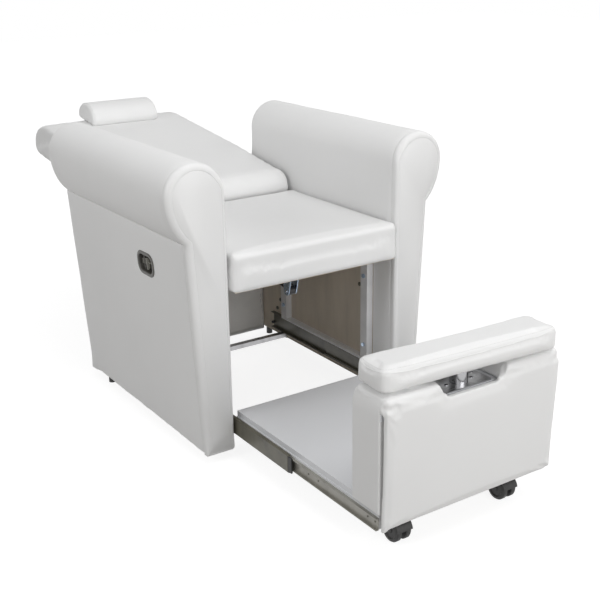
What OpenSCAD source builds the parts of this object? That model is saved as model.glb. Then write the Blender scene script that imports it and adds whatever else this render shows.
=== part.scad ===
// Pedicure spa chair: two rolled arms, a seat, a reclining back with a head pillow,
// and a drawer on castors that carries a basin shelf and a padded footrest.
// Millimetres, +Z up. The chair faces -Y and +X is on the right seen from the front.
// Depths are counted backwards from the front faces of the arms, heights from the floor,
// and place() then sets the origin on the floor under the middle of the whole chair.

/* [Seat] */
// Clear width between the two arms
seat_gap_w = 520; // [480:5:600]
// Height of the underside of the seat
seat_bottom_h = 450; // [440:5:480]
// Depth of the seat cushion, front to rear
seat_depth = 516; // [500:2:560]
// Overhang of the seat cushion in front of the arms
seat_overhang = 18; // [5:1:21]
// Thickness of the seat cushion at its top edge
seat_t = 96; // [70:1:120]
// Rise of the seat cushion's crown above its edges
seat_crown = 3; // [2:1:15]
// Gap between the seat cushion and each arm
seat_side_gap = 3.5; // [2:0.5:8]
// Thickness of the seat board
seat_board_t = 15; // [12:1:20]

/* [Arms] */
// Height of the glides that lift the arms off the floor
glide_h = 25; // [15:1:35]
// Radius of a glide
glide_r = 10; // [7:0.5:14]
// Width of an arm at its foot
arm_foot_w = 81; // [72:1:100]
// Width of an arm at its neck, just under the roll
arm_neck_w = 111; // [100:1:125]
// Height of the neck
arm_neck_h = 588; // [570:1:610]
// Radius of the roll on top of an arm
roll_r = 79; // [70:1:90]
// Rise of the middle of the roll above the neck
roll_rise = 116; // [110:1:130]
// Depth of an arm at its foot
arm_foot_depth = 740; // [710:1:760]
// Depth of an arm at its neck
arm_neck_depth = 753; // [735:1:790]
// Radius of the soft rear end of the roll
roll_end_r = 20; // [10:1:35]
// Thickness of the padded arm panels
panel_t = 20; // [14:1:26]
// Thickness of the bare arm boards
arm_board_t = 15; // [10:1:18]
// Height of the lower edge of the bare inner boards
arm_board_h = 45; // [30:1:58]

/* [Frame] */
// Width of the steel frame tube, across the chair
tube_w = 20; // [16:1:20]
// Depth of the steel frame tube
tube_d = 30; // [25:1:40]
// Wall of the steel frame tube
tube_wall = 2; // [1.5:0.25:3]
// Depth at which the front posts begin
front_post_y = 100; // [98:1:130]
// Depth at which the rear posts begin
rear_post_y = 524; // [480:1:540]
// Thickness of the bar under the posts
base_bar_t = 8; // [5:1:12]
// Depth at which the floor crossbar begins
crossbar_y = 556; // [500:1:600]
// Size of the floor crossbar, front to rear
crossbar_d = 20; // [15:1:30]
// Size of the floor crossbar, up and down
crossbar_t = 14; // [10:1:16]
// Radius of the frame bolts' hexagonal heads
bolt_head_r = 6.5; // [5:0.5:9]
// Setback of the back skirt panel from the rear edges of the arms
skirt_setback = 35; // [4:1:45]
// Thickness of the back skirt panel
skirt_t = 12; // [8:1:14]
// Height of the back skirt panel's lower edge
skirt_h = 30; // [26:1:60]

/* [Backrest] */
// Angle of the laid-back backrest above the horizontal
back_angle = 7; // [4:1:12]
// Length of the backrest, end to end
back_len = 834; // [760:2:900]
// Thickness of the backrest
back_t = 102; // [90:2:110]
// Rise of the backrest's crown above its edges
back_crown = 7; // [2:1:12]
// Gap between the backrest and each arm
back_side_gap = 8; // [8:0.5:14]
// Gap between the seat cushion and the backrest's rounded lower end
back_gap = 5; // [3:0.5:10]
// Height of the hinge axis above the top edge of the seat cushion
hinge_rise = 6; // [5:1:25]
// Radius of the hinge tube across the backrest
hinge_tube_r = 13; // [12:0.5:16]
// Wall of the hinge tube
hinge_tube_wall = 2.5; // [2:0.5:3]
// Thickness of the hinge's steel plates
hinge_plate_t = 5; // [4:0.5:5]
// Thickness of the board under the backrest
back_board_t = 12; // [9:1:15]

/* [Head pillow] */
// Length of the pillow, across the chair
pillow_len = 262; // [220:2:380]
// Depth of the pillow, along the backrest
pillow_d = 146; // [120:2:180]
// Height of the pillow
pillow_t = 81; // [70:1:110]
// Distance from the hinge to the pillow's middle, along the backrest
pillow_u = 688; // [560:2:690]
// Shift of the pillow towards +X
pillow_x = 20; // [-60:5:60]

/* [Gas spring] */
// Depth of the gas spring's front pin
gas_y = 126; // [120:1:180]
// Drop of the front pin below the seat's underside
gas_drop = 78; // [60:1:90]
// Radius of the crank that the gas spring pushes
crank_r = 125; // [122:1:130]
// Direction of the crank at rest, from the rearward horizontal
crank_angle = -105; // [-107:1:-100]
// Radius of the gas spring's rod
gas_rod_r = 5; // [4:0.5:6]
// Radius of the gas spring's cylinder
gas_tube_r = 11; // [9:0.5:12]
// Length of the gas spring's cylinder
gas_tube_len = 230; // [210:5:250]
// Radius of the gas spring's pins
gas_pin_r = 4; // [3:0.5:5]

/* [Release handle] */
// Depth of the handle's middle
handle_y = 243; // [220:1:300]
// Height of the handle's middle
handle_h = 486; // [460:1:500]
// Length of the handle's bezel
bezel_len = 94; // [92:1:110]
// Height of the handle's bezel
bezel_w = 64; // [58:1:70]
// Depth of the handle's cup
cup_depth = 27; // [22:1:32]
// Reach of the paddle, from its pin to its free end
paddle_len = 40; // [34:1:42]
// Radius of the paddle's pin
paddle_pin_r = 3; // [2:0.5:3.5]

/* [Drawer] */
// Travel of the drawer
drawer_travel = 580; // [540:5:580]
// Setback of the closed drawer behind the arm fronts
drawer_setback = 22; // [0:1:24]
// Height of the middle of the slides
slide_h = 85; // [84:0.5:88]
// Height of the slides' outer members
slide_w = 53; // [45:1:54]
// Length of the slides
slide_len = 600; // [560:5:640]
// Thickness of the slides
slide_t = 19; // [17:0.5:20]
// Depth at which the slides' outer members begin
slide_y = 30; // [25:1:45]
// Thickness of the basin shelf
shelf_t = 15; // [12:1:18]
// Height of the top of the shelf
shelf_h = 120; // [118:1:124]
// How far the shelf reaches behind the arm fronts, pulled out
shelf_rear = 22; // [10:1:40]
// Depth of the footrest box, front to rear
box_d = 110; // [106:1:112]
// Gap between the box and each arm
box_gap = 10; // [9.5:0.5:14]
// Thickness of the box's boards
box_t = 12; // [12:1:14]
// Height of the lower edge of the box's front
box_skirt_h = 78; // [74:1:84]
// Thickness of the padding on top of the box
box_pad_t = 40; // [34:1:46]

/* [Footrest] */
// Length of the footrest cushion
foot_len = 476; // [440:2:480]
// Depth of the footrest cushion
foot_d = 106; // [96:1:110]
// Thickness of the footrest cushion
foot_t = 55; // [45:1:65]
// Rise of the footrest cushion's crown, within its thickness
foot_crown = 7; // [2:1:10]
// Gap between the box and the footrest cushion
foot_gap = 3; // [2:0.5:6]
// Gap between the footrest cushion and the seat above it
drawer_gap = 4; // [3:0.5:8]
// Turn of the cushion on its post at rest
foot_turn = -3; // [-8:1:8]
// Radius of the footrest's post
post_r = 21; // [18:0.5:22]
// Shift of the post towards +X
post_x = -8; // [-15:1:15]
// Distance from the box's front to the post's axis
post_inset = 47; // [44:1:50]
// Length of the post's sleeve
sleeve_len = 190; // [160:5:210]
// Length of the post's steel flange
flange_len = 140; // [124:2:150]
// Depth of the post's steel flange
flange_d = 66; // [58:1:70]

/* [Castors] */
// Radius of the castors' wheels
wheel_r = 28; // [26:0.5:30]
// Width of one wheel
wheel_w = 15; // [12:0.5:17]
// Distance from the chair's middle to a castor
castor_x = 160; // [130:5:165]
// Distance from the box's front to the castors' swivel axis
castor_inset = 46; // [42:1:60]
// Distance from the swivel axis back to the wheels' axle
castor_trail = 18; // [12:1:20]

/* [Hidden] */
$fn = 96;

// Clearances and small shared sizes
run_fit = 0.05;      // radial gap of a shaft that turns or slides
seat_fit = 0.3;      // gap round a part that is let into a cushion or panel
soft_gap = 0.5;      // gap between the pillow and the backrest
small_gap = 1;       // gap between steel parts that pass each other
sheet_t = 3;         // bent sheet steel

// Width
half = seat_gap_w / 2;
seat_half = half - seat_side_gap;
back_half = half - back_side_gap;
plate_out = half - small_gap;
plate_in = plate_out - hinge_plate_t;

// Seat
seat_rear = seat_depth - seat_overhang;
seat_top_h = seat_bottom_h + seat_t;
seat_corner_r = 22;
seat_edge_r = 12;
seat_foot_r = 5;
seat_draw = 3;
board_margin = 9;

// Arms
roll_x = half + roll_r;
roll_h = arm_neck_h + roll_rise;
roll_out = roll_x + roll_r;
// Bends in the roll's outer side, as shares of its way out and up: first out, first up, second up
roll_swell = [0.54, 0.21, 0.56];
roll_inset = 1;
arm_slope = (arm_neck_w - arm_foot_w) / (arm_neck_h - glide_h);
arm_lean = atan(arm_slope);
arm_bottom_t = 12;
glide_clear = 2;      // from a padded panel to a front glide
glide_inset = 21;     // from an arm's outer face in to the middle of a rear glide
glide_front_y = 90;
glide_rear_y = 645;
far = 900;           // past every arm, for cutting
function arm_x(h) = half + arm_foot_w + arm_slope * (h - glide_h);
function arm_y(h) = arm_foot_depth
    + (arm_neck_depth - arm_foot_depth) * (h - glide_h) / (arm_neck_h - glide_h);
function on_roll(a) = [roll_x + roll_r * cos(a), roll_h + roll_r * sin(a)];
function roll_side(t) =
    let (neck = [arm_x(arm_neck_h), arm_neck_h],
         step = [roll_out - neck[0], roll_h - arm_neck_h])
    pow(1 - t, 3) * neck
    + 3 * t * pow(1 - t, 2) * (neck + [roll_swell[0] * step[0], roll_swell[1] * step[1]])
    + 3 * t * t * (1 - t) * [roll_out, arm_neck_h + roll_swell[2] * step[1]]
    + pow(t, 3) * [roll_out, roll_h];
function over_roll(side_n = 7, arc_n = 18) = concat(
    [for (k = [0:side_n - 1]) roll_side(k / side_n)],
    [for (k = [0:arc_n]) on_roll(180 * k / arc_n)]);

// Slides: the middle and inner members nest in the outer one
slide_top = slide_h + slide_w / 2;
slide_in = half - slide_t;
slide_sheet = 1.5;
ball_gap = 4.5;
slide_lip = 13;
middle_w = slide_w - 2 * ball_gap;
middle_out = half - ball_gap - small_gap;
middle_lip = 9;
middle_inset = 20;
middle_len = slide_len - 2 * middle_inset;
middle_y = slide_y + middle_inset - drawer_travel / 2;
inner_w = middle_w - 14;
inner_lip = 8;
inner_inset = 25;
bumper_len = 6;

// Frame
base_bar_h = slide_top + small_gap / 2;
rail_h = seat_bottom_h - tube_d;
hinge_y = seat_rear + back_gap + back_t / 2;
hinge_h = seat_top_h + hinge_rise;
hinge_plate_foot = 60;
hinge_plate_r = 20;
stub_len = 34;
rail_rear = hinge_y + hinge_plate_foot / 2;
crossbar_drop = 4;
crossbar_h = arm_board_h - crossbar_drop;
bolt_inset = 50;
bolt_head_t = 4;
skirt_rise = 60;
skirt_top_h = rail_h + skirt_rise;
skirt_y = min(arm_y(skirt_h), arm_y(skirt_top_h)) - skirt_setback - skirt_t;

// Backrest
back_flat = back_len - back_t;
back_edge_r = 14;
back_board_side = 22;
back_board_end = 10;
back_board_start = 40;
hanger_x = 150;
hanger_t = 5;
hanger_reach = 100;
fork_in = 16;
fork_t = 5;
crank_rim = 6;

// Gas spring
gas_h = seat_bottom_h - gas_drop;
crank_y = hinge_y + crank_r * cos(crank_angle);
crank_h = hinge_h + crank_r * sin(crank_angle);
gas_slope = atan2(crank_h - gas_h, crank_y - gas_y);
gas_len = norm([crank_y - gas_y, crank_h - gas_h]);
eye_r = gas_pin_r + 8;
gas_half = 9;
gas_wall = 2;
gas_gland = 12;
gas_cap = 8;
gas_tube_end = gas_len - eye_r + 1;
gas_tube_start = gas_tube_end - gas_tube_len;
rod_spare = 20;
gas_rod_end = gas_tube_end - gas_cap - rod_spare;
bracket_gap = 1.5;
bracket_half = gas_half + bracket_gap;
bracket_front = 31;
bracket_rear = 19;
slot_r = gas_pin_r + 3;           // half width of the crank's slot
slot_reach = 0.11 * crank_r;      // half length that the pin travels in the slot

// Drawer and box
box_front = -(drawer_travel + drawer_setback);
box_rear_y = box_front + box_d;
inner_y = box_front + inner_inset;
box_half = half - box_gap;
box_in = box_half - box_t;
box_slide_gap = 1.5;
box_side_h = slide_top + box_slide_gap;
lid_t = 15;
bottom_t = 15;
batten_t = 12;
batten_drop = 33;
foot_top = seat_bottom_h - drawer_gap;
foot_bottom = foot_top - foot_t;
pad_top = foot_bottom - foot_gap;
lid_top = pad_top - box_pad_t;
shelf_bottom = shelf_h - shelf_t;
notch_slope = 30;
notch_clear = 3;
notch_behind = 14;
notch_rear = box_front + post_inset + flange_d / 2 + notch_behind;
pad_corner_r = 12;
pad_edge_r = 14;
pad_foot_r = 1;

// Footrest
post_y = box_front + post_inset;
flange_top = lid_top + sheet_t;
sleeve_r = post_r + 3;
foot_plate_t = 5;
foot_plate_w = 100;
foot_plate_d = 50;
foot_plate_h = foot_bottom - foot_plate_t;
spigot_r = 8;
spigot_len = 14;
hub_r = 15;
hub_t = 16;
foot_corner_r = 20;
foot_edge_r = 14;
foot_foot_r = 6;
foot_draw = 2;
post_end = 10;        // from the foot of the sleeve up to the post's lower end
screw_r = 4.5;
flange_screws_at = [[-36, 0], [36, 0], [-56, 22], [56, 22]];

// Castors
castor_y = box_front + castor_inset;
castor_top = shelf_bottom - bottom_t;
stem_r = 5.5;
axle_r = 4;
hood_gap = 1;
hood_t = 3;
web_half = 5;
neck_r = 11;

// Handle cup
bezel_t = 3;
cup_wall = 2.5;
bezel_lip = 9;
cup_len = bezel_len - 2 * bezel_lip;
cup_w = bezel_w - 2 * bezel_lip;
cup_corner_r = 14;
paddle_side_gap = 6;
paddle_w = cup_w - 2 * (cup_wall + paddle_side_gap);
paddle_t = 4;
paddle_barrel_r = paddle_pin_r + 3;
spring_w = 2.5;
spring_t = 1.5;
paddle_pin_in = 9;
paddle_pin_end = cup_w / 2 - small_gap;
paddle_end_gap = 5;
paddle_pin_y = cup_len / 2 - cup_wall - paddle_barrel_r - paddle_end_gap;
paddle_rise = 6;
paddle_wave = 4;

// The middle of the whole chair, front to rear
front_reach = (foot_len / 2 - foot_corner_r) * abs(sin(foot_turn))
    + (foot_d / 2 - foot_corner_r) * cos(foot_turn) + foot_corner_r - post_y;
rear_reach = hinge_y + back_flat * cos(back_angle) + back_t / 2;
chair_mid = (rear_reach - front_reach) / 2;

// Colours
leatherette = [0.94, 0.94, 0.93];
raw_board = [0.42, 0.38, 0.34];
white_paint = [0.92, 0.92, 0.94];
lining = [0.72, 0.71, 0.69];
zinc = [0.70, 0.74, 0.80];
chrome = [0.82, 0.83, 0.85];
steel = [0.66, 0.67, 0.69];
black = [0.09, 0.09, 0.10];
bronze = [0.25, 0.24, 0.22];

// ---- Shared shapes ----

module place() {
    translate([0, -chair_mid, 0]) children();
}

// side 1 is +X, side -1 is -X
module on_side(side) {
    mirror([side < 0 ? 1 : 0, 0, 0]) children();
}

module both_sides() {
    for (side = [-1, 1]) on_side(side) children();
}

module slab(low, high) {
    translate(low) cube(high - low);
}

// An outline in X and Z, carried from one depth to another
module along_y(y0, y1) {
    translate([0, y1, 0]) rotate([90, 0, 0]) linear_extrude(y1 - y0) children();
}

// An outline in Y and Z, carried from one side to another
module along_x(x0, x1) {
    translate([x0, 0, 0]) rotate([90, 0, 90]) linear_extrude(x1 - x0) children();
}

module rod_x(r, x0, x1) {
    translate([x0, 0, 0]) rotate([0, 90, 0]) cylinder(r = r, h = x1 - x0);
}

module rod_y(r, y0, y1) {
    translate([0, y1, 0]) rotate([90, 0, 0]) cylinder(r = r, h = y1 - y0);
}

// A strip with round ends, from the origin along its own +X
module strip_2d(start, end, r) {
    translate([start, -r]) square([end - start, 2 * r]);
    for (x = [start, end]) translate([x, 0]) circle(r = r);
}

module rounded_2d(w, d, r) {
    square([w - 2 * r, d], center = true);
    square([w, d - 2 * r], center = true);
    for (x = [-1, 1], y = [-1, 1])
        translate([x * (w / 2 - r), y * (d / 2 - r)]) circle(r = r);
}

// ---- Soft shapes ----

// Closed skin through sections of equal length, each [height, outline], lowest first
module loft(sections) {
    n = len(sections[0][1]);
    last = len(sections) - 1;
    points = [for (s = sections, p = s[1]) [p[0], p[1], s[0]]];
    sides = [for (j = [0:last - 1], i = [0:n - 1]) let (k = (i + 1) % n) each [
        [j * n + i, (j + 1) * n + i, (j + 1) * n + k],
        [j * n + i, (j + 1) * n + k, j * n + k]
    ]];
    caps = [[for (i = [0:n - 1]) i], [for (i = [n - 1:-1:0]) last * n + i]];
    polyhedron(points = points, faces = concat(sides, caps), convexity = 4);
}

// Rectangle with round corners whose sides are drawn in between them
function pillow_outline(w, d, r, draw, side_n = 5, arc_n = 4) =
    let (x = w / 2 - r, y = d / 2 - r,
         centre = [[x, -y], [x, y], [-x, y], [-x, -y]],
         out = [[0, -1], [1, 0], [0, 1], [-1, 0]])
    [for (q = [0:3]) each concat(
        [for (j = [1:side_n - 1]) let (t = j / side_n, from = centre[(q + 3) % 4])
            from + (centre[q] - from) * t + out[q] * (r - draw * 4 * t * (1 - t))],
        [for (k = [0:arc_n]) let (a = 90 * (q - 1 + k / arc_n))
            centre[q] + r * [cos(a), sin(a)]])];

// A cushion standing on z = 0: soft edges, drawn-in sides and a crowned top
module cushion(w, d, t, corner_r, edge_r, foot_r, crown, draw) {
    function ring(inset) =
        pillow_outline(w - 2 * inset, d - 2 * inset, max(corner_r - inset, 2), draw);
    loft(concat(
        [for (a = [0:45:90]) [foot_r * (1 - cos(a)), ring(foot_r * (1 - sin(a)))]],
        [for (a = [0:22.5:90]) [t - edge_r * (1 - sin(a)), ring(edge_r * (1 - cos(a)))]],
        [for (f = [0.85, 0.65, 0.4, 0.12]) [t + crown * (1 - f * f), ring(edge_r) * f]]));
}

// ---- Arms ----

module arm_outline() {
    polygon(concat([[half, glide_h], [arm_x(glide_h), glide_h]], over_roll()));
}

// The space in front of the arm's leaning rear face, less a thickness
module ahead_of_rear(less) {
    along_x(0, 2 * half)
        polygon([[-far, 0], [arm_y(0) - less, 0], [arm_y(far) - less, far], [-far, far]]);
}

module arm_front(side) {
    color(leatherette) on_side(side) along_y(0, panel_t) arm_outline();
}

module arm_side(side) {
    color(leatherette) difference() {
        on_side(side) intersection() {
            along_y(panel_t, far)
                polygon([[arm_x(glide_h) - panel_t, glide_h], [arm_x(glide_h), glide_h],
                         [arm_x(arm_neck_h), arm_neck_h],
                         [arm_x(arm_neck_h) - panel_t, arm_neck_h]]);
            ahead_of_rear(0);
        }
        if (side < 0) at_handle() cup_prism(-2 * panel_t, panel_t, -seat_fit);
    }
}

module arm_rear(side) {
    color(leatherette) on_side(side) difference() {
        intersection() {
            along_y(panel_t, far)
                polygon([[half, glide_h], [arm_x(glide_h) - panel_t, glide_h],
                         [arm_x(arm_neck_h) - panel_t, arm_neck_h], [half, arm_neck_h]]);
            ahead_of_rear(0);
        }
        ahead_of_rear(arm_board_t);
    }
}

module arm_roll(side) {
    rear = arm_neck_depth - roll_inset;
    section = concat(
        [[half, arm_neck_h]],
        over_roll(),
        [for (t = [0.35, 0.7]) [half, roll_h + (arm_neck_h - roll_h) * t]]);
    function shrunk(inset) = let (centre = [roll_x, roll_h], f = 1 - inset / roll_r)
        [for (p = section) centre + f * (p - centre)];
    color(leatherette) on_side(side) rotate([90, 0, 0]) loft(concat(
        [for (a = [90:-22.5:0])
            [roll_end_r * (1 - sin(a)) - rear, shrunk(roll_end_r * (1 - cos(a)))]],
        [[-panel_t, section]]));
}

module arm_pad(side) {
    color(leatherette) on_side(side) intersection() {
        along_x(half, half + panel_t)
            polygon([[panel_t, glide_h], [front_post_y, glide_h], [front_post_y, seat_bottom_h],
                     [far, seat_bottom_h], [far, arm_neck_h], [panel_t, arm_neck_h]]);
        ahead_of_rear(arm_board_t);
    }
}

module arm_boards() {
    color(raw_board) both_sides() intersection() {
        slab([half, front_post_y, arm_board_h], [half + arm_board_t, far, seat_bottom_h]);
        ahead_of_rear(arm_board_t);
    }
}

// The boards that close the arms below, on which their glides stand
module arm_bottoms() {
    color(raw_board) both_sides() intersection() {
        slab([half + panel_t, panel_t, glide_h],
             [arm_x(glide_h) - panel_t, far, glide_h + arm_bottom_t]);
        ahead_of_rear(arm_board_t);
    }
}

module arm_glides() {
    inner_x = half + panel_t + glide_r + glide_clear;
    at = [[inner_x, glide_front_y], [arm_x(glide_h) - glide_inset, glide_rear_y],
          [inner_x, arm_foot_depth - arm_board_t - glide_r]];
    color(black) both_sides() for (p = at)
        translate([p[0], p[1], 0]) cylinder(r = glide_r, h = glide_h);
}

// ---- Frame under the seat ----

module posts(y) {
    bottom = base_bar_h + base_bar_t;
    color(white_paint) both_sides() difference() {
        slab([half - tube_w, y, bottom], [half, y + tube_d, rail_h]);
        slab([half - tube_w + tube_wall, y + tube_wall, bottom - 1],
             [half - tube_wall, y + tube_d - tube_wall, rail_h + 1]);
    }
}

module base_bars() {
    color(white_paint) both_sides()
        slab([half - tube_w, front_post_y, base_bar_h],
             [half, rear_post_y + tube_d, base_bar_h + base_bar_t]);
}

module top_rails() {
    color(white_paint) both_sides() difference() {
        slab([half - tube_w, front_post_y, rail_h], [half, rail_rear, seat_bottom_h]);
        slab([half - tube_w + tube_wall, front_post_y - 1, rail_h + tube_wall],
             [half - tube_wall, rail_rear + 1, seat_bottom_h - tube_wall]);
    }
}

module floor_crossbar() {
    top = crossbar_h + crossbar_t;
    color(steel) difference() {
        slab([-half, crossbar_y, crossbar_h], [half, crossbar_y + crossbar_d, top]);
        slab([-half - 1, crossbar_y + tube_wall, crossbar_h + tube_wall],
             [half + 1, crossbar_y + crossbar_d - tube_wall, top - tube_wall]);
    }
}

module frame_bolts() {
    heights = [base_bar_h + bolt_inset, rail_h - bolt_inset];
    color(black) both_sides() for (y = [front_post_y, rear_post_y], h = heights)
        translate([0, y + tube_d / 2, h])
            rod_x(bolt_head_r, half - tube_w - bolt_head_t, half - tube_w, $fn = 6);
}

module back_skirt() {
    color(lining) slab([-half, skirt_y, skirt_h], [half, skirt_y + skirt_t, skirt_top_h]);
}

// ---- Seat ----

// The cushion's pocket is the same shape, reaching a little below the cushion
module seat_board_shape(below = 0) {
    slab([-seat_half + board_margin, -seat_overhang + board_margin, seat_bottom_h - below],
         [seat_half - board_margin, seat_rear - board_margin, seat_bottom_h + seat_board_t]);
}

module seat_board() {
    color(raw_board) seat_board_shape();
}

module seat_cushion() {
    color(leatherette) difference() {
        translate([0, (seat_rear - seat_overhang) / 2, seat_bottom_h])
            cushion(2 * seat_half, seat_depth, seat_t, seat_corner_r, seat_edge_r,
                    seat_foot_r, seat_crown, seat_draw);
        seat_board_shape(below = 1);
    }
}

// ---- Backrest and its hinge ----

// The hinge's own frame: X along the axis, Y rearwards, Z up
module at_hinge() {
    translate([0, hinge_y, hinge_h]) children();
}

// The backrest's own frame: Y runs up along it from the hinge, Z is its upper side
module at_back() {
    at_hinge() rotate([back_angle, 0, 0]) children();
}

module hinge_plates() {
    foot = hinge_plate_foot / 2;
    drop = hinge_h - seat_bottom_h;
    bore = hinge_tube_r - hinge_tube_wall;
    color(steel) both_sides() at_hinge() {
        along_x(plate_in, plate_out) {
            circle(r = hinge_plate_r);
            polygon([[-foot, -drop], [foot, -drop], [hinge_plate_r, 0], [-hinge_plate_r, 0]]);
        }
        rod_x(bore - run_fit, plate_in - stub_len, plate_in);
    }
}

module hanger_2d(gap = 0) {
    foot = back_board_t - back_t / 2 - gap;
    rim = hinge_tube_r + crank_rim + gap;
    circle(r = rim);
    polygon([[-rim, 0], [-gap, foot], [hanger_reach + gap, foot],
             [hanger_reach + gap, foot + crank_rim + 2 * gap], [gap, rim]]);
}

// The crank hangs from the hinge towards the gas spring, in Y and Z about the hinge
module crank_2d() {
    rotate(crank_angle) difference() {
        union() {
            circle(r = hinge_tube_r + crank_rim);
            strip_2d(0, crank_r + slot_reach, slot_r + crank_rim);
        }
        strip_2d(crank_r - slot_reach, crank_r + slot_reach, slot_r);
    }
}

// The hollow in the backrest's lower end that the two crank plates come out of
module crank_pocket() {
    reach = hinge_tube_r + crank_rim + small_gap;
    side = fork_in + fork_t + small_gap;
    at_hinge() along_x(-side, side)
        rotate(crank_angle) translate([-reach, -reach]) square([reach + back_t, 2 * reach]);
}

module backrest_shaft() {
    tube_half = back_half - 0.5;
    color(steel) difference() {
        union() {
            at_hinge() rod_x(hinge_tube_r, -tube_half, tube_half);
            both_sides() at_hinge() along_x(fork_in, fork_in + fork_t) crank_2d();
            both_sides() at_back() along_x(hanger_x, hanger_x + hanger_t) hanger_2d();
        }
        at_hinge() rod_x(hinge_tube_r - hinge_tube_wall, -back_half, back_half);
    }
}

// The cushion's pocket is the same shape, reaching a little below the cushion
module backrest_board_shape(below = 0) {
    side = back_half - back_board_side;
    at_back() slab([-side, back_board_start, -back_t / 2 - below],
                   [side, back_flat - back_board_end, back_board_t - back_t / 2]);
}

module backrest_board() {
    color(raw_board) backrest_board_shape();
}

module backrest_skin() {
    arc_n = 9;
    function profile(inset, lift) = let (r = back_t / 2 - inset) concat(
        [for (k = [0:arc_n]) let (a = 90 + 180 * k / arc_n) r * [cos(a), sin(a)]],
        [for (k = [0:arc_n]) let (a = -90 + 180 * k / arc_n)
            [back_flat, 0] + r * [cos(a), sin(a)]],
        [for (t = [0.96, 0.88, 0.75, 0.5, 0.25, 0.12, 0.04])
            [back_flat * t, r + lift * (1 - pow(2 * t - 1, 6))]]);
    edge = [for (a = [0:22.5:90])
        [back_half - back_edge_r * (1 - sin(a)), back_edge_r * (1 - cos(a))]];
    last = len(edge) - 1;
    function edge_lift(inset) = 0.2 * back_crown * (1 - inset / (1.5 * back_edge_r));
    middle = [for (f = [-0.7, -0.35, 0, 0.35, 0.7])
        [f * back_half, profile(0, back_crown * (1 - f * f))]];
    rotate([90, 0, 90]) loft(concat(
        [for (i = [last:-1:0]) let (e = edge[i])
            [-e[0], profile(e[1], edge_lift(e[1]))]],
        middle,
        [for (e = edge) [e[0], profile(e[1], edge_lift(e[1]))]]));
}

module backrest_cushion() {
    color(leatherette) difference() {
        at_back() backrest_skin();
        backrest_board_shape(below = 1);
        at_hinge() rod_x(hinge_tube_r + seat_fit, -half, half);
        crank_pocket();
        both_sides() at_back()
            along_x(hanger_x - seat_fit, hanger_x + hanger_t + seat_fit) hanger_2d(seat_fit);
    }
}

// ---- Head pillow ----

// A half-round roll: flat below, high and round above, narrower at its two ends
module head_pillow() {
    arc_n = 12;
    foot_r = 14;
    end_r = 24;
    centre = [0, 0.42 * pillow_t];
    rim = pillow_d / 2;
    section = concat(
        [for (t = [-1, -0.5, 0, 0.5, 1]) [t * (rim - foot_r), 0]],
        [for (a = [-60, -30]) [rim - foot_r, foot_r] + foot_r * [cos(a), sin(a)]],
        [for (k = [0:arc_n]) let (a = 180 * k / arc_n)
            [rim * cos(a), foot_r + (pillow_t - foot_r) * sin(a)]],
        [for (a = [210, 240]) [foot_r - rim, foot_r] + foot_r * [cos(a), sin(a)]]);
    function shrunk(inset) = let (f = 1 - inset / (pillow_t / 2))
        [for (p = section) centre + f * (p - centre)];
    ends = [for (a = [0:22.5:90])
        [pillow_len / 2 - end_r * (1 - sin(a)), end_r * (1 - cos(a))]];
    last = len(ends) - 1;
    color(leatherette) at_back()
        translate([pillow_x, pillow_u, back_t / 2 + back_crown + soft_gap])
            rotate([90, 0, 90]) loft(concat(
                [for (i = [last:-1:0]) [-ends[i][0], shrunk(ends[i][1])]],
                [[0, section]],
                [for (e = ends) [e[0], shrunk(e[1])]]));
}

// ---- Gas spring ----

// The gas spring's own frame: Y runs from the front pin to the rear pin
module at_gas_spring() {
    translate([0, gas_y, gas_h]) rotate([gas_slope, 0, 0]) children();
}

module gas_spring_bracket() {
    top = gas_drop - sheet_t;
    color(zinc) translate([0, gas_y, gas_h]) difference() {
        union() {
            both_sides() along_x(bracket_half, bracket_half + sheet_t) {
                circle(r = eye_r);
                polygon([[-eye_r, 0], [eye_r, 0], [bracket_rear, top], [-bracket_front, top]]);
            }
            slab([-2 * bracket_half - eye_r, -bracket_front, top],
                 [2 * bracket_half + eye_r, bracket_rear, gas_drop]);
        }
        rod_x(gas_pin_r, -half, half);
    }
}

module gas_spring_pin() {
    end = bracket_half + 2 * sheet_t;
    color(steel) translate([0, gas_y, gas_h]) rod_x(gas_pin_r, -end, end);
}

module gas_spring_rod() {
    color(black) at_gas_spring() difference() {
        union() {
            rod_x(eye_r, -gas_half, gas_half);
            rod_y(gas_rod_r, 0, gas_rod_end);
        }
        rod_x(gas_pin_r + run_fit, -half, half);
    }
}

module gas_spring_cylinder() {
    color(black) at_gas_spring() difference() {
        union() {
            rod_y(gas_tube_r, gas_tube_start, gas_tube_end);
            translate([0, gas_len, 0]) rod_x(eye_r, -gas_half, gas_half);
        }
        rod_y(gas_rod_r + run_fit, gas_tube_start - 1, gas_tube_start + gas_gland + 1);
        rod_y(gas_tube_r - gas_wall, gas_tube_start + gas_gland, gas_tube_end - gas_cap);
        translate([0, gas_len, 0]) rod_x(gas_pin_r, -half, half);
    }
}

module gas_spring_rear_pin() {
    end = fork_in + fork_t + sheet_t;
    color(zinc) at_gas_spring() translate([0, gas_len, 0]) rod_x(gas_pin_r, -end, end);
}

// ---- Telescopic slides ----

// Channel of bent sheet: its web stands at x_web and its lips reach to x_lip
module channel(y0, y1, height, x_web, x_lip) {
    inward = x_lip < x_web ? -1 : 1;
    low = min(x_web, x_lip);
    high = max(x_web, x_lip);
    difference() {
        slab([low, y0, slide_h - height / 2], [high, y1, slide_h + height / 2]);
        translate([inward * slide_sheet, 0, 0])
            slab([low, y0 - 1, slide_h - height / 2 + slide_sheet],
                 [high, y1 + 1, slide_h + height / 2 - slide_sheet]);
    }
}

module slide_outer(side) {
    color(zinc) on_side(side)
        channel(slide_y, slide_y + slide_len, slide_w, half, half - slide_lip);
}

module slide_middle(side) {
    color(zinc) on_side(side)
        channel(middle_y, middle_y + middle_len, middle_w, middle_out, middle_out - middle_lip);
}

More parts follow.
